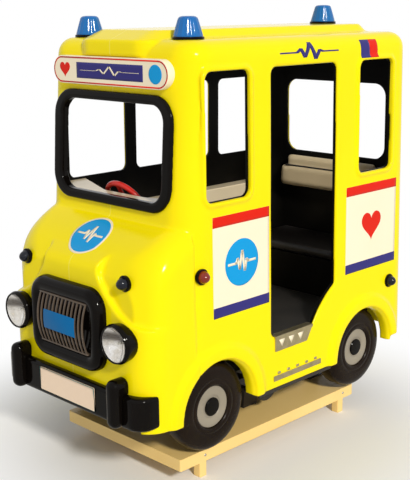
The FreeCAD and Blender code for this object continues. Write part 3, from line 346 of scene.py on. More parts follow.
def chain(bm, points):
    """A string of edges, each vertex drawn out of the one before it."""
    tip = bmesh.ops.create_vert(bm, co=points[0])["vert"][0]
    for point in points[1:]:
        tip = bmesh.ops.extrude_vert_indiv(bm, verts=[tip])["verts"][0]
        tip.co = point


def spun(profile, centre, axis, steps=64):
    """A turned form from (distance along the axis, radius) points."""
    bm = bmesh.new()
    centre, axis = Vector(centre), Vector(axis).normalized()
    side = axis.orthogonal().normalized()
    chain(bm, [centre + axis * along + side * radius for along, radius in profile])
    bmesh.ops.spin(bm, geom=bm.verts[:] + bm.edges[:], cent=centre, axis=axis, angle=math.tau,
                   steps=steps, use_merge=True)
    bmesh.ops.remove_doubles(bm, verts=bm.verts, dist=1e-6)
    bmesh.ops.recalc_face_normals(bm, faces=bm.faces)
    return bm


def merged(*nodes):
    """One bmesh of copies of frame nodes, with their loose triangles joined."""
    bm = bmesh.new()
    for node in nodes:
        bm.from_mesh(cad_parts[node].data)
    bmesh.ops.remove_doubles(bm, verts=bm.verts, dist=2e-6)
    return bm


def dressed(node, material, body, edge=0.0015, segments=2):
    """A copy of a frame node with its corners eased, which then stands for the node."""
    bm = merged(node)
    bmesh.ops.dissolve_limit(bm, angle_limit=math.radians(0.8), verts=bm.verts, edges=bm.edges)
    corners = [e for e in bm.edges if len(e.link_faces) == 2 and e.calc_face_angle(0) > math.radians(28)]
    bmesh.ops.bevel(bm, geom=corners, offset=edge, offset_type="OFFSET", segments=segments, profile=0.5,
                    affect="EDGES", clamp_overlap=True, material=-1)
    made = piece(node + "_eased", bm, material, body)
    even = made.modifiers.new("even", "WEIGHTED_NORMAL")
    even.keep_sharp = True
    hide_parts(node)
    return made


def relaxed(bm, voxel, rounds, keep):
    """Rebuild a closed volume as an even skin of voxels, relax it and thin it out."""
    start = bpy.data.meshes.new("volume")
    bm.to_mesh(start)
    bm.free()
    holder = bpy.data.objects.new("volume", start)
    scene.collection.objects.link(holder)
    remesh = holder.modifiers.new("voxels", "REMESH")
    remesh.mode = "VOXEL"
    remesh.voxel_size = voxel
    settle = holder.modifiers.new("relax", "SMOOTH")
    settle.factor = 0.6
    settle.iterations = rounds
    thin = holder.modifiers.new("thin", "DECIMATE")
    thin.ratio = keep
    skin_mesh = bpy.data.meshes.new_from_object(
        holder.evaluated_get(bpy.context.evaluated_depsgraph_get()))
    bpy.data.objects.remove(holder)
    bpy.data.meshes.remove(start)
    result = bmesh.new()
    result.from_mesh(skin_mesh)
    bpy.data.meshes.remove(skin_mesh)
    return result


def moulded(node, material, body, voxel=0.0025, rounds=9, keep=0.3):
    """A soft-edged copy of a frame node, as a rubber or plastic moulding has no hard corner."""
    bm = relaxed(merged(node), voxel, rounds, keep)
    made = piece(node + "_moulded", bm, material, body, sharp=75)
    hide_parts(node)


def rounded(half_u, half_v, radius, inset, turns=9):
    """Corner points of a rounded rectangle that is drawn in on all sides."""
    r = max(radius - inset, 0.002)
    points = []
    for i in range(4 * turns):
        corner = i // turns
        turn = math.radians(90 * (corner + (i % turns) / (turns - 1)))
        u = (half_u - inset - r) * (1 if corner in (0, 3) else -1)
        v = (half_v - inset - r) * (1 if corner in (0, 1) else -1)
        points.append((u + r * math.cos(turn), v + r * math.sin(turn)))
    return points


def hooped(profile, half_u, half_v, radius, place, closed=True):
    """A hoop from (inset, height) points: rounded loops bridged one to the next."""
    bm = bmesh.new()
    hoops = []
    for inset, height in profile:
        points = rounded(half_u, half_v, radius, inset)
        ring = bmesh.ops.create_circle(bm, segments=len(points), radius=1.0)["verts"]
        for v, (a, b) in zip(ring, points):
            v.co = place(a, b, height)
        hoops.append(list({e for v in ring for e in v.link_edges}))
    pairs = list(zip(hoops, hoops[1:]))
    if closed:
        pairs.append((hoops[-1], hoops[0]))
    for one, other in pairs:
        bmesh.ops.bridge_loops(bm, edges=one + other)
    if not closed:
        bmesh.ops.holes_fill(bm, edges=hoops[-1])
    bmesh.ops.recalc_face_normals(bm, faces=bm.faces)
    return bm


def painted(node, material):
    """Give a frame node its finish and leave its shape as it is."""
    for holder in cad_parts[node].material_slots:
        holder.material = material


# %% [markdown]
# ## The shell
# Moulded glass fibre has no sharp edges anywhere. Bevels on each edge would fight each other
# where many curved faces meet, so the two halves are merged into one volume, rebuilt as an even
# skin of small voxels and then relaxed. The relaxing rounds every edge at once, as a mould does.
# Thin rings are added behind the arches first, because the edge of each arch rolls inward, and
# low lips round the windows on the door side.

# %% Yellow shell
VOXEL = 0.005
SIDES = ((1, "left"), (-1, "right"))
WHEELS = {"front": (-0.387, 0.273), "rear": (0.434, 0.279)}
ARCH_HEIGHT, ARCH_FOOT = 0.275, 0.274
ARCH_EDGE = [(0.338, 0.170), (0.338, 0.190), (0.382, 0.190), (0.384, 0.184), (0.380, 0.174),
             (0.372, 0.170), (0.338, 0.170)]
LIP = [(-0.019, -0.004), (-0.014, 0.0048), (-0.008, 0.0072), (-0.002, 0.0045), (-0.001, -0.004)]
LIP_OUT, LIP_MID, LIP_TALL, LIP_ROUND, DRAFT = 0.3745, 1.208, 0.21, 0.026, 0.0096


def add_to(bm, other):
    """Copy one bmesh into another and free it."""
    carrier = bpy.data.meshes.new("carrier")
    other.to_mesh(carrier)
    other.free()
    bm.from_mesh(carrier)
    bpy.data.meshes.remove(carrier)


bm = merged("shell_left", "shell_right")
on_seam = [f for f in bm.faces if all(abs(v.co.x) < 1e-5 for v in f.verts)]
bmesh.ops.delete(bm, geom=on_seam, context="FACES")
for side, _ in SIDES:
    for y, _ in WHEELS.values():
        ring = spun(ARCH_EDGE, (0, y, ARCH_HEIGHT), (side, 0, 0), 72)
        bmesh.ops.bisect_plane(ring, geom=ring.verts[:] + ring.edges[:] + ring.faces[:],
                               plane_co=(0, 0, ARCH_FOOT), plane_no=(0, 0, -1), clear_outer=True)
        bmesh.ops.holes_fill(ring, edges=[e for e in ring.edges if e.is_boundary])
        add_to(bm, ring)
for y0, y1 in ((-0.439, -0.232), (0.376, 0.585)):
    add_to(bm, hooped(LIP, (y1 - y0) / 2, LIP_TALL, LIP_ROUND, lambda u, v, h: Vector(
        (LIP_OUT + h - v * DRAFT, (y0 + y1) / 2 + u, LIP_MID + v))))
bm = relaxed(bm, VOXEL, rounds=6, keep=0.17)
shell = piece("yellow_shell", bm, gel_yellow, "car", sharp=70)
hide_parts("shell_left", "shell_right")
skin = BVHTree.FromObject(shell, bpy.context.evaluated_depsgraph_get())
tell("shell")


# %% [markdown]
# ## Printed film
# The panels and stripes on the body are cut vinyl film. Each starts as a flat grid that is shaped
# in its own plane and then dropped on to the shell along one direction: a ray from each vertex
# finds the skin. Layers stand a few tenths of a millimetre above each other, as film on film does.

# %% Film helpers
FILM_THICK = 0.0004


def grid(across, high):
    """A flat grid from -1 to 1 in both directions."""
    bm = bmesh.new()
    bmesh.ops.create_grid(bm, x_segments=across, y_segments=high, size=1.0)
    return bm


def flat_disc(cuts):
    """A square grid whose vertices are moved so that it becomes a disc."""
    bm = grid(cuts, cuts)
    for v in bm.verts:
        x, y = v.co.x, v.co.y
        v.co = Vector((x * math.sqrt(1 - y * y / 2), y * math.sqrt(1 - x * x / 2), 0))
    return bm


def flat_heart(cuts):
    """A disc whose vertices are moved so that it becomes a heart."""
    bm = flat_disc(cuts)
    for v in bm.verts:
        reach = math.hypot(v.co.x, v.co.y)
        turn = math.atan2(v.co.x, v.co.y)
        high = 13 * math.cos(turn) - 5 * math.cos(2 * turn) - 2 * math.cos(3 * turn) - math.cos(4 * turn)
        v.co = Vector((16 * math.sin(turn) ** 3, high + 2, 0)) * (reach / 17)
    return bm


def draw_out(bm, edges, vec):
    """Extrude edges along a vector and return the edges at the far end."""
    grown = bmesh.ops.extrude_edge_only(bm, edges=edges)["geom"]
    bmesh.ops.translate(bm, verts=[g for g in grown if isinstance(g, bmesh.types.BMVert)], vec=vec)
    return [g for g in grown if isinstance(g, bmesh.types.BMEdge)]


def ribbon(points, wide, step=0.12):
    """A flat band of even width through (u, v) points, cut into short lengths."""
    bm = bmesh.new()
    for a, b in zip(points, points[1:]):
        along = Vector((b[0] - a[0], b[1] - a[1], 0))
        across = Vector((-along.y, along.x, 0)).normalized() * wide / 2
        start = Vector((a[0], a[1], 0)) - along.normalized() * wide * 0.3
        finish = Vector((b[0], b[1], 0)) + along.normalized() * wide * 0.3
        bottom = bmesh.ops.create_vert(bm, co=start - across)["vert"][0]
        top = bmesh.ops.extrude_vert_indiv(bm, verts=[bottom])
        top["verts"][0].co = start + across
        edges = top["edges"]
        count = max(1, int((finish - start).length / step))
        for _ in range(count):
            edges = draw_out(bm, edges, (finish - start) / count)
    return bm


def face_out(bm, out):
    """Turn the faces of a flat form to one side."""
    bmesh.ops.recalc_face_normals(bm, faces=bm.faces)
    if sum(f.normal.dot(out) * f.calc_area() for f in bm.faces) < 0:
        bmesh.ops.reverse_faces(bm, faces=bm.faces)


def thicken(made, thickness):
    """Give a flat piece its thickness, inward from its face."""
    thick = made.modifiers.new("thickness", "SOLIDIFY")
    thick.thickness = thickness
    thick.offset = -1


def film(name, bm, material, centre, u_dir, v_dir, half_u, half_v, lift, target=None):
    """Place a flat outline in space, drop it on the skin and give it a hair of thickness."""
    u_dir, v_dir = Vector(u_dir).normalized(), Vector(v_dir).normalized()
    out = u_dir.cross(v_dir)
    centre = Vector(centre)
    tree = target or skin
    for v in bm.verts:
        spot = centre + u_dir * (v.co.x * half_u) + v_dir * (v.co.y * half_v)
        hit = tree.ray_cast(spot + out * 0.12, -out, 0.4)
        v.co = (hit[0] if hit[0] else spot) + out * lift
    face_out(bm, out)
    thicken(piece(name, bm, material, "car", sharp=60), FILM_THICK)


# %% Side panels on both sides of the body
PULSE = ((-1, 0), (-0.45, 0), (-0.32, 0.3), (-0.18, -0.42), (0.02, 0.78), (0.2, -0.6), (0.34, 0.14),
         (0.46, 0), (1, 0))
PANELS = {"front": (-0.413, -0.134, 0.602, 0.948), "rear": (0.306, 0.630, 0.612, 0.950)}
PANEL_X, BAND = 0.38, 0.036
RIGHT, UP = (1, 0, 0), (0, 0, 1)
LAYERS = (0.0006, 0.0011, 0.0016)
for side, label in SIDES:
    along = (0, side, 0)
    for end, (y0, y1, z0, z1) in PANELS.items():
        x, mid, half = PANEL_X * side, (y0 + y1) / 2, (y1 - y0) / 2
        spot = (x, mid, (z0 + z1) / 2)
        tag = end + "_" + label
        film(tag + "_panel", grid(24, 24), film_white, spot, along, UP, half, (z1 - z0) / 2, LAYERS[0])
        for shade, tone, z in (("red", film_red, z1 - BAND / 2), ("navy", film_navy, z0 + BAND / 2)):
            film("%s_%s_band" % (tag, shade), grid(24, 4), tone, (x, mid, z), along, UP, half, BAND / 2,
                 LAYERS[1])
        if end == "front":
            film(tag + "_disc", flat_disc(24), film_blue, spot, along, UP, 0.082, 0.082, LAYERS[1])
            film(tag + "_pulse", ribbon(PULSE, 0.17), film_white, spot, along, UP, 0.066, 0.05, LAYERS[2])
        else:
            film(tag + "_heart", flat_heart(24), film_red, spot, along, UP, 0.066, 0.066, LAYERS[1])
tell("side film")

# %% Bonnet disc, roof-edge line and two-tone patch
BONNET, BONNET_UP = (0.0, -0.615, 0.86), Vector((0, 0.62, 0.48)).normalized()
ROOF_X, ROOF_LIFT = 0.37, 0.0008
film("bonnet_disc_edge", flat_disc(30), film_white, BONNET, RIGHT, BONNET_UP, 0.086, 0.086, 0.0008)
film("bonnet_disc", flat_disc(30), film_blue, BONNET, RIGHT, BONNET_UP, 0.078, 0.078, 0.0013)
film("bonnet_pulse", ribbon(PULSE, 0.16), film_white, BONNET, RIGHT, BONNET_UP, 0.062, 0.05, 0.0018)
for side, label in SIDES:
    along, x = (0, side, 0), ROOF_X * side
    film("roof_edge_line_" + label, ribbon(PULSE, 0.13, 0.06), film_navy, (x, 0.085, 1.462), along, UP,
         0.155, 0.040, ROOF_LIFT)
    for tone, y0, y1 in ((film_navy, 0.381, 0.435), (film_red, 0.435, 0.485)):
        film("roof_patch_" + tone.name + "_" + label, grid(8, 12), tone, (x, (y0 + y1) / 2, 1.461), along, UP,
             (y1 - y0) / 2, 0.033, ROOF_LIFT)
tell("bonnet and roof film")

# %% [markdown]
# ## Name board
# The board over the windscreen is a white plate with a thin red line round it. Between a red
# heart and a blue disc it carries a plain navy bar with a pulse line.

# %% Name board
board = dressed("sign_board", film_white, "car", edge=0.002)
board_skin = BVHTree.FromObject(board, bpy.context.evaluated_depsgraph_get())
low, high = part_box("sign_board")
mid_z, half_z, half_x = (low.z + high.z) / 2, (high.z - low.z) / 2, (high.x - low.x) / 2
LINE_IN, LINE_WIDE = 0.006, 0.0045


def stadium(half_long, half_high, wide, turns=16):
    """A closed ribbon round a bar with two round ends."""
    points = []
    for end, start in ((1, -90), (-1, 90)):
        for i in range(turns + 1):
            turn = math.radians(start + 180 * i / turns)
            points.append((end * (half_long - half_high) + half_high * math.cos(turn),
                           half_high * math.sin(turn)))
    points.append(points[0])
    return ribbon(points, wide, 1.0)


for name, form, tone, x, half_u, half_v, lift in (
        ("red_line", stadium(half_x - LINE_IN, half_z - LINE_IN, LINE_WIDE), film_red, 0, 1, 1, 0.0004),
        ("navy_bar", grid(30, 6), film_navy, 0.005, 0.172, 0.027, 0.0004),
        ("pulse", ribbon(PULSE, 0.06, 0.05), film_white, 0.005, 0.15, 0.022, 0.0008),
        ("heart", flat_heart(16), film_red, -0.232, 0.03, 0.03, 0.0004),
        ("disc", flat_disc(16), film_blue, 0.236, 0.031, 0.031, 0.0004)):
    film("board_" + name, form, tone, (x, low.y, mid_z), RIGHT, UP, half_u, half_v, lift,
         target=board_skin)
tell("name board")

# %% [markdown]
# ## Black trims
# The windscreen bead, the bumper and the lamp housings are thick glossy mouldings with no hard
# corner. Their solids already have the right form, so copies of them are rebuilt as small voxels
# and relaxed, more where the real piece is rounder, and long reflections then run along them.
# The blank plate is stamped sheet with a crisp edge, so its copy is only bevelled. A thin frame
# inset from a flat face gives its teal border.

# %% Front trims
moulded("windscreen_frame", trim_black, "car", rounds=14)
moulded("bumper", trim_black, "car", voxel=0.003, rounds=8)
moulded("overriders", trim_black, "car", rounds=12)
moulded("headlamp_housings", trim_black, "car", rounds=4)
dressed("number_plate", plate_pale, "car", edge=0.0008)
tell("front trims")

# %% Teal edge round the blank plate
RIM_WIDE, RIM_THICK, RIM_LIFT = 0.0036, 0.0006, 0.0005
low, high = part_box("number_plate")
middle = (low + high) / 2
bm = grid(1, 1)
for v in bm.verts:
    v.co = Vector((v.co.x * (high.x - low.x) / 2, low.y - RIM_LIFT,
                   middle.z + v.co.y * (high.z - low.z) / 2))
edging = bmesh.ops.inset_region(bm, faces=bm.faces[:], thickness=RIM_WIDE, depth=0.0, use_boundary=True)
bmesh.ops.delete(bm, geom=[f for f in bm.faces if f not in edging["faces"]], context="FACES")
face_out(bm, Vector((0, -1, 0)))
thicken(piece("plate_rim", bm, plate_edge, "car"), RIM_THICK)
tell("plate rim")

# %% [markdown]
# ## Grille
# The surround is a fat cushion of black plastic whose face falls inward to the bars. It is drawn
# as rounded loops, each at its own inset and depth, and bridged. The bars are thirteen strips
# that bow forward between two rails, so they stand proud of the surround at half height.

# %% Grille surround
GRILLE_MID = 0.585
PILLOW = [(0.004, -0.684), (0.0, -0.700), (0.0, -0.728), (0.003, -0.741), (0.009, -0.750), (0.017, -0.7552),
          (0.026, -0.7568), (0.036, -0.7560), (0.045, -0.7530), (0.052, -0.7485), (0.057, -0.7430),
          (0.059, -0.7340), (0.070, -0.7330)]
bm = hooped(PILLOW, 0.190, 0.144, 0.074, lambda u, v, h: Vector((u, h, GRILLE_MID + v)), closed=False)
surround = piece("grille_pillow", bm, trim_black, "car", sharp=50)
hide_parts("grille_surround")
tell("grille surround")

# %% Grille bars and badge
BARS, BAR_SPREAD, BAR_RISE, BAR_MID = 13, 0.122, 0.087, 0.589
BAR_FEET, BAR_BOW, BAR_HALF, BAR_DEEP = -0.7520, 0.0190, 0.0028, 0.006


def bar_front(z):
    """Where the front of a bar lies at one height."""
    return BAR_FEET - BAR_BOW * (1 - ((z - BAR_MID) / BAR_RISE) ** 2)


def strip(x0, x1, z0, z1, proud, deep, steps=14):
    """An upright strip that follows the bow of the bars."""
    bm = bmesh.new()
    heights = [z0 + (z1 - z0) * i / steps for i in range(steps + 1)]
    chain(bm, [Vector((x0, bar_front(z) - proud, z)) for z in heights])
    draw_out(bm, bm.edges[:], (x1 - x0, 0, 0))
    grown = bmesh.ops.extrude_face_region(bm, geom=bm.faces[:])["geom"]
    bmesh.ops.translate(bm, verts=[g for g in grown if isinstance(g, bmesh.types.BMVert)], vec=(0, deep, 0))
    bmesh.ops.recalc_face_normals(bm, faces=bm.faces)
    edges = [e for e in bm.edges if len(e.link_faces) == 2 and e.calc_face_angle(0) > 1.0]
    bmesh.ops.bevel(bm, geom=edges, offset=min(deep, x1 - x0) * 0.25, segments=2, profile=0.5,
                    affect="EDGES", material=-1)
    return bm


def block(size, edge, centre=(0, 0, 0)):
    """A bar with rounded edges about a centre."""
    bm = bmesh.new()
    bmesh.ops.create_cube(bm, size=1.0)
    bmesh.ops.scale(bm, verts=bm.verts, vec=size)
    bmesh.ops.bevel(bm, geom=bm.edges[:], offset=edge, segments=3, profile=0.5, affect="EDGES", material=-1)
    bmesh.ops.translate(bm, verts=bm.verts, vec=centre)
    return bm


for number in range(BARS):
    x = BAR_SPREAD * (2 * number / (BARS - 1) - 1)
    upright = strip(x - BAR_HALF, x + BAR_HALF, BAR_MID - BAR_RISE, BAR_MID + BAR_RISE, 0.0, BAR_DEEP)
    bar = piece("grille_bar_%d" % number, upright, grille_black, "car")
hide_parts("grille_bars")
for end, label in ((1, "top"), (-1, "low")):
    rail = block((2 * BAR_SPREAD + 0.012, 0.016, 0.007), 0.003,
                 (0, BAR_FEET + 0.0065, BAR_MID + end * (BAR_RISE - 0.001)))
    piece("grille_rail_" + label, rail, grille_black, "car")
badge = piece("grille_badge", strip(-0.084, 0.084, 0.558, 0.624, 0.0022, 0.0022), plate_blue, "car")
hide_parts("grille_plate")
tell("grille bars and badge")

# %% [markdown]
# ## Headlamps
# Each lamp has a deep bright bowl, a small bulb and a slightly domed clear glass in a thin rim.
# The bowl is a spun parabola. The glass is a real thin shell, so the bowl is seen through it.
# A dark brown band level with its bulb and a cloudy brown tint are painted reflection, laid on the bowl.

# %% Bright bowl with a painted reflection: a dark brown level band over the bulb
REFLECTION_BAND_Z = 0.594
# Painted reflection: the cloudy brown tint of the bowl stands for dark surroundings mirrored in it.
bowl_chrome = surface("bowl_chrome", (0.88, 0.86, 0.83), (0.62, 0.55, 0.44), 0.10, 60, 0.05, 30, 0.8,
                      metallic=1.0)
# Painted reflection: a dark brown band level with the bulb.
banded(bowl_chrome, "Z", REFLECTION_BAND_Z, 0.006, 0.026, 1.0, (0.05, 0.03, 0.012), fall="SMOOTHSTEP")
print("brown band at", REFLECTION_BAND_Z)

# %% Headlamps
LAMP_X, LAMP_FACE, LAMP_Z = 0.269, -0.757, 0.575
BOWL_R, BOWL_DEEP, BOWL_STEPS, DOME_STEPS = 0.0585, 0.026, 14, 10
BOWL = [(0.0015 + BOWL_DEEP * (1 - (i / BOWL_STEPS) ** 2), BOWL_R * i / BOWL_STEPS)
        for i in range(BOWL_STEPS + 1)]
BOWL_BACK = [(along + 0.0012, max(radius - 0.0002, 0.0)) for along, radius in reversed(BOWL)]
quarter = [math.pi / 2 * i / DOME_STEPS for i in range(DOME_STEPS + 1)]
DOME = [(-0.0004 - 0.004 * math.cos(t), BOWL_R * math.sin(t)) for t in quarter]
DOME_BACK = [(along + 0.0008, radius) for along, radius in reversed(DOME)]
BULB = [(0.016, 0), (0.017, 0.003), (0.019, 0.0048), (0.024, 0.0048), (0.029, 0.004), (0.030, 0)]
LAMP_RIM = [(0.0, 0.0580), (-0.0030, 0.0592), (-0.0025, 0.0625), (0.002, 0.0650), (0.006, 0.0640),
            (0.006, 0.0580), (0.0, 0.0580)]
INWARD = (0, 1, 0)
for side, label in SIDES:
    centre = (LAMP_X * side, LAMP_FACE, LAMP_Z)
    bowl = piece("headlamp_bowl_" + label, spun(BOWL + BOWL_BACK, centre, INWARD), bowl_chrome, "car")
    if side > 0:
        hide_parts("headlamp_bowls")
    glass = spun(DOME + DOME_BACK, centre, INWARD)
    piece("headlamp_glass_" + label, glass, clear_glass, "car")
    piece("headlamp_bulb_" + label, spun(BULB, centre, INWARD, 24), bulb_glow, "car")
    piece("headlamp_rim_" + label, spun(LAMP_RIM, centre, INWARD), trim_black, "car")
tell("headlamps")

# %% [markdown]
# ## Small lamps
# The turn lamps on the nose and the markers on the sides are egg-shaped domes on a rubber foot.
# The forward marker is a deep amber red, the others are smoked. One profile of the egg and one
# of the foot are spun for all.

# %% Small lamps
EGG_R, EGG_LONG, FOOT_R = 0.0215, 0.030, 0.0272
EGG = [(0.003 + EGG_LONG * math.sin(math.pi / 2 * i / 12), EGG_R * math.cos(math.pi / 2 * i / 12))
       for i in range(13)]
FOOT = [(-0.004, FOOT_R - 0.001), (0.004, FOOT_R), (0.0070, FOOT_R - 0.0025), (0.0075, EGG_R + 0.0005),
        (-0.004, EGG_R), (-0.004, FOOT_R - 0.001)]
LAMPS = {"turn_lamps": (smoked_lens, (0.265, -0.699, 0.765), (0, -1, 0)),
         "front_markers": (amber_lens, (0.3763, -0.466, 0.761), (1, 0, 0)),
         "rear_markers": (smoked_lens, (0.3785, 0.596, 0.532), (1, 0, 0))}
for node, (material, seat, out) in LAMPS.items():
    for side, label in SIDES:
        place = (seat[0] * side, seat[1], seat[2])
        aim = (out[0] * side, out[1], out[2])
        egg = piece(node + "_egg_" + label, spun([(0.003, 0.0)] + EGG, place, aim, 40), material, "car")
        if side > 0:
            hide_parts(node)
        piece(node + "_foot_" + label, spun(FOOT, place, aim, 40), trim_black, "car")
tell("small lamps")

# %% [markdown]
# ## Beacons
# A beacon is a tapered acrylic cap over a mirror cone and a lamp, on a black foot. Upright flutes
# in the cap break the light into streaks: the wall of the spun cap is drawn in by a wave that
# runs round the axis.

# %% Beacons
BEACONS = {"front_left": (0.252, -0.393, 1.517), "front_right": (-0.252, -0.393, 1.517),
           "rear": (0.0, 0.618, 1.546)}
CAP_WALL, FLUTES, FLUTE_DEEP = 0.0025, 18, 0.045
BEACON_CAP = [(0.009, 0.0485), (0.012, 0.0488), (0.016, 0.0478), (0.030, 0.0435), (0.050, 0.0375),
              (0.062, 0.0338), (0.068, 0.0312), (0.072, 0.0262), (0.0738, 0.018), (0.074, 0.0)]
BEACON_INNER = [(max(a - CAP_WALL, 0.009), max(r - CAP_WALL, 0.0)) for a, r in reversed(BEACON_CAP)]
BEACON_MIRROR = [(0.009, 0.0), (0.009, 0.034), (0.014, 0.034), (0.034, 0.016), (0.052, 0.022),
                 (0.060, 0.012), (0.062, 0)]
for label, seat in BEACONS.items():
    bm = spun(BEACON_CAP + BEACON_INNER + BEACON_CAP[:1], seat, UP, 96)
    for v in bm.verts:
        arm = v.co - Vector(seat)
        if 0.012 < arm.z < 0.066 and math.hypot(arm.x, arm.y) > 0.02:
            turn = math.atan2(arm.y, arm.x)
            flute = 1 - FLUTE_DEEP * (0.5 + 0.5 * math.cos(FLUTES * turn))
            v.co = Vector(seat) + Vector((arm.x * flute, arm.y * flute, arm.z))
    cap = piece("beacon_cap_" + label, bm, beacon_blue, "car")
    if label == "rear":
        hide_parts("beacon_domes")
    piece("beacon_mirror_" + label, spun(BEACON_MIRROR, seat, UP, 48), chrome, "car")
dressed("beacon_rings", trim_black, "car", edge=0.0012)
tell("beacons")

# %% [markdown]
# ## Step plates
# The door tread is pressed steel with a diamond knurl and three white triangles. The knurl is a
# bump from two crossed sets of waves, too fine to model. Small steel nubs stand over the strip
# along the sill.

# %% Knurled plate
tree = tread_steel.node_tree
spot = add_node(tree, "TexCoord").outputs["Object"]
waves = []
for turn in (45, -45):
    turned = add_node(tree, "Mapping", {"Vector": spot, "Rotation": (math.radians(turn), 0, 0)})
    wave = add_node(tree, "TexWave", {"Vector": turned.outputs["Vector"], "Scale": 45}, bands_direction="Y")
    waves.append(wave.outputs["Fac"])
cross = add_node(tree, "Math", {0: waves[0], 1: waves[1]}, operation="MAXIMUM")
knurl = next(n for n in tree.nodes if n.bl_idname == "ShaderNodeBump")
knurl.inputs["Strength"].default_value = 0.7
tree.links.new(cross.outputs[0], knurl.inputs["Height"])
dressed("door_tread", tread_steel, "car", edge=0.0012)
dressed("rocker_strip", tread_steel, "car", edge=0.0008)
tell("step plates")

# %% White triangles on the tread and nubs over the rocker strip
MARK_R, MARK_PITCH, MARK_START, MARK_Z, MARK_THICK = 0.019, 0.052, 0.036, 0.440, 0.0006
NUB_X, NUB_PITCH, NUB_START, NUB_LIFT = 0.3805, 0.052, 0.03, 0.008
low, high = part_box("door_tread")
for number in range(3):
    bm = bmesh.new()
    corners = bmesh.ops.create_circle(bm, cap_ends=True, segments=3, radius=MARK_R)["verts"]
    for i, v in enumerate(corners):
        turn = math.radians(-90 + 120 * i)
        v.co = Vector((high.x + 0.0002, low.y + MARK_START + MARK_PITCH * number + MARK_R * math.cos(turn),
                       MARK_Z + MARK_R * math.sin(turn)))
    face_out(bm, Vector((1, 0, 0)))
    thicken(piece("tread_mark_%d" % number, bm, film_white, "car"), MARK_THICK)
low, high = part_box("rocker_strip")
for number in range(5):
    seat = (NUB_X, low.y + NUB_START + number * NUB_PITCH, high.z + NUB_LIFT)
    nub = block((0.006, 0.016, 0.010), 0.0028, seat)
    piece("rocker_nub_%d" % number, nub, tread_steel, "car")
tell("marks and nubs")

# %% [markdown]
# ## Wheels
# The tyres are hollow mouldings with a rounded shoulder and one shallow groove near the rim. The
# grey discs are dished, with a black cap on the axle. One profile of each is spun four times.

# %% Tyres, discs and caps
TYRE = [(0.004, 0.0745), (0.0005, 0.080), (0.0, 0.100), (0.001, 0.125), (0.004, 0.141), (0.011, 0.152),
        (0.021, 0.159), (0.034, 0.162), (0.050, 0.162), (0.066, 0.162), (0.079, 0.159), (0.089, 0.152),
        (0.096, 0.141), (0.099, 0.125), (0.100, 0.108), (0.0998, 0.100), (0.0985, 0.0975), (0.0985, 0.0945),
        (0.0998, 0.092), (0.0998, 0.084), (0.098, 0.079), (0.092, 0.0745), (0.004, 0.0745)]
DISC = [(0.006, 0.0102), (0.006, 0.026), (0.074, 0.027), (0.079, 0.0742), (0.0895, 0.0742), (0.091, 0.0725),
        (0.091, 0.044), (0.090, 0.0415), (0.087, 0.039), (0.087, 0.0102), (0.006, 0.0102)]
CAP = [(0.0885, 0.0), (0.0885, 0.033), (0.0925, 0.033), (0.0945, 0.031), (0.0955, 0.020), (0.0958, 0.0)]
WHEEL_X = 0.250
for end, (y, z) in WHEELS.items():
    for side, label in SIDES:
        wheel = end + "_" + label
        centre, out = (WHEEL_X * side, y, z), (side, 0, 0)
        tyre = piece(wheel + "_tyre_moulded", spun(TYRE, centre, out, 96), tyre_black, wheel + "_wheel",
                     sharp=50)
        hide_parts(wheel + "_tyre")
        disc = piece(wheel + "_disc", spun(DISC, centre, out, 72), hub_grey, wheel + "_wheel")
        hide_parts(wheel + "_hub")
        cap = piece("axle_cap_" + wheel, spun(CAP, centre, out, 48), trim_black, "car")
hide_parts("axle_caps")
painted("axles", bare_steel)
tell("wheels")

# %% [markdown]
# ## Inside the cab
# The cab is lined in satin black. A cream shelf runs under the windscreen with a bay for the
# driver, and a cream locker stands along the far wall.

# %% Cab pieces
painted("cab_lining", cab_black)
painted("floor_panel", floor_rubber)
dressed("dashboard", cab_cream, "car", edge=0.005, segments=3)
dressed("side_locker", cab_cream, "car", edge=0.008, segments=3)
dressed("bench_base", cab_black, "car", edge=0.004)
dressed("steering_column", trim_black, "car", edge=0.001)
tell("cab")

# %% [markdown]
# ## Steering wheel
# A fat red moulded rim on three flat spokes. The rim is a torus: a small circle spun about the
# steering axis, which leans back by thirty degrees.

# %% Steering wheel
STEER = Vector((-0.060, -0.403, 0.936))
STEER_AXIS = Vector((0, math.cos(math.radians(30)), math.sin(math.radians(30))))
RIM_R, RIM_TUBE, TUBE_STEPS = 0.092, 0.0098, 20
turns = [math.tau * i / TUBE_STEPS for i in range(TUBE_STEPS + 1)]
rim_line = [(RIM_TUBE * math.sin(t), RIM_R + RIM_TUBE * math.cos(t)) for t in turns]
wheel_rim = piece("steering_rim", spun(rim_line, STEER, STEER_AXIS, 96), wheel_red, "steering")
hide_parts("steering_wheel")
hub_line = [(-0.011, 0.0082), (-0.011, 0.024), (-0.008, 0.026), (0.004, 0.026), (0.009, 0.022),
            (0.011, 0.015), (0.011, 0.0082), (-0.011, 0.0082)]
piece("steering_hub", spun(hub_line, STEER, STEER_AXIS, 48), wheel_red, "steering")
upward = Vector((0, -STEER_AXIS.z, STEER_AXIS.y))
for number, turn in enumerate((90, 210, 330)):
    out = Vector((1, 0, 0)) * math.cos(math.radians(turn)) + upward * math.sin(math.radians(turn))
    turn_to = Matrix((out, out.cross(STEER_AXIS), STEER_AXIS)).transposed().to_4x4()
    spoke = block((0.064, 0.020, 0.009), 0.003)
    bmesh.ops.transform(spoke, matrix=Matrix.Translation(STEER + out * 0.054) @ turn_to, verts=spoke.verts)
    piece("steering_spoke_%d" % number, spoke, wheel_red, "steering")
tell("steering wheel")

# %% [markdown]
# ## Bench
# The seat is black vinyl over foam and the backrest two cream rolls, one above the other. Padded
# vinyl bulges between its corners, which a cloth solver gives: the pad is rebuilt in small even
# faces, blown up by a little pressure, and its movement is limited. A thin dark rod lies in the
# crease between the two rolls as painted shade of the crease, and is spun about its own line.

# %% Vinyl and pads
PAD_VOXEL, PRESSURE, BLOW_FRAMES = 0.007, 3, 16


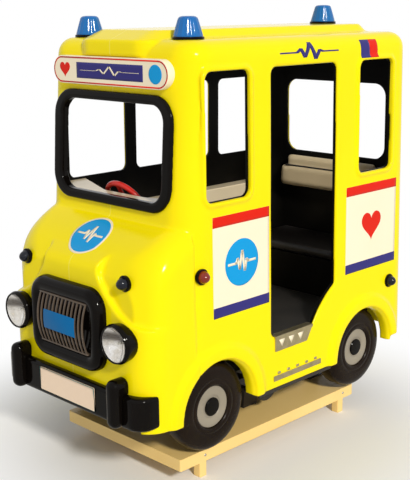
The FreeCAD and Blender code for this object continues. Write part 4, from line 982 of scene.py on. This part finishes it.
def vinyl(name, colour, tint):
    """A finish whose bump comes from small cells, as a pressed grain."""
    made = surface(name, colour, tint, 0.36, 240, 0.35, 9, 0.4, rough_swing=0.1)
    tree = made.node_tree
    spot = add_node(tree, "TexCoord").outputs["Object"]
    cells = add_node(tree, "TexVoronoi", {"Vector": spot, "Scale": 420})
    grain = next(n for n in tree.nodes if n.bl_idname == "ShaderNodeBump")
    tree.links.new(cells.outputs["Distance"], grain.inputs["Height"])
    return made


vinyl_black = vinyl("vinyl_black", (0.016, 0.014, 0.014), (0.03, 0.027, 0.025))
vinyl_cream = vinyl("vinyl_cream", (0.70, 0.57, 0.36), (0.62, 0.49, 0.29))


def pad(node, material, shrink, limit):
    """A cushion from a node's solid: shrunk, rebuilt, blown up like cloth and kept inside a limit."""
    bm = merged(node)
    low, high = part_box(node)
    middle = (low + high) / 2
    span = high - low
    for v in bm.verts:
        v.co = middle + Vector([(v.co[i] - middle[i]) * (1 - shrink / span[i]) for i in range(3)])
    made = piece(node + "_pad", bm, material, "car", sharp=60)
    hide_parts(node)
    remesh = made.modifiers.new("voxels", "REMESH")
    remesh.mode = "VOXEL"
    remesh.voxel_size = PAD_VOXEL
    graph = bpy.context.evaluated_depsgraph_get()
    made.data = bpy.data.meshes.new_from_object(made.evaluated_get(graph))
    made.modifiers.clear()
    start = [v.co.copy() for v in made.data.vertices]
    cloth = made.modifiers.new("cloth", "CLOTH")
    cloth.settings.use_pressure = True
    cloth.settings.uniform_pressure_force = PRESSURE
    cloth.settings.effector_weights.gravity = 0
    for number in range(1, BLOW_FRAMES + 1):
        scene.frame_set(number)
    graph = bpy.context.evaluated_depsgraph_get()
    blown = bpy.data.meshes.new_from_object(made.evaluated_get(graph))
    made.modifiers.clear()
    made.data = blown
    scene.frame_set(1)
    for v, rest in zip(made.data.vertices, start):
        move = v.co - rest
        if move.length > limit:
            v.co = rest + move.normalized() * limit
        for i in range(3):
            v.co[i] = min(max(v.co[i], low[i] + 0.0002), high[i] - 0.0002)
    made.data.polygons.foreach_set("use_smooth", [True] * len(made.data.polygons))
    smooth = made.modifiers.new("settle", "SMOOTH")
    smooth.iterations = 6


pad("bench_cushion", vinyl_black, shrink=0.010, limit=0.006)
pad("bench_backrest", vinyl_cream, shrink=0.010, limit=0.006)
tell("pads before they are blown up")

# %% Dark rod in the crease between the two rolls, as painted shade of the crease
CREASE_Z, CREASE_BACK, CREASE_ROD_R, CREASE_ROD_LONG = 0.934, 0.0105, 0.0045, 0.460
low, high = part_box("bench_backrest")
line = [(0.0, 0.0), (0.0, CREASE_ROD_R * 0.7), (0.001, CREASE_ROD_R), (0.459, CREASE_ROD_R),
        (CREASE_ROD_LONG, CREASE_ROD_R * 0.7), (CREASE_ROD_LONG, 0.0)]
crease_shade_rod = spun(line, (-CREASE_ROD_LONG / 2, low.y + CREASE_BACK, CREASE_Z), RIGHT, 16)
# Painted shade: this dark rod stands in for the shade in the crease.
piece("backrest_crease_shade_rod", crease_shade_rod, vinyl_black, "car")
tell("crease_shade_rod")

# %% [markdown]
# ## Frame and base
# Below the shell are black square tubes, and below those a folded steel tray in cream powder
# coat on four square feet, with the hinge, the geared motor and the crank between them.

# %% Frame, drive and base
for node in ("chassis_rails", "cross_members", "floor_posts", "hinge_lugs"):
    dressed(node, frame_paint, "car", edge=0.0025)
for node in ("hinge_pedestals", "drive_bearings"):
    dressed(node, frame_paint, "base", edge=0.0015)
dressed("gearmotor", motor_grey, "base", edge=0.006, segments=3)
dressed("drive_crank", frame_paint, "drive", edge=0.002)
painted("hinge_shaft", bare_steel)
dressed("base_pan", base_cream, "base", edge=0.0012)
moulded("base_feet", base_cream, "base", rounds=2, keep=0.12)
tell("frame and base")

# %% Screws that hold the tray to its feet
SCREW = [(-0.001, 0.0), (-0.001, 0.0052), (0.0012, 0.0052), (0.0026, 0.0038), (0.003, 0.0)]
SCREW_X, SCREW_Z = 0.3128, 0.086
corners = [(side, y) for side in (1, -1) for y in (-0.395, 0.395)]
for number, (side, y) in enumerate(corners):
    head = spun(SCREW, (SCREW_X * side, y, SCREW_Z), (side, 0, 0), 24)
    piece("tray_screw_%d" % number, head, bare_steel, "base")
tell("screws")
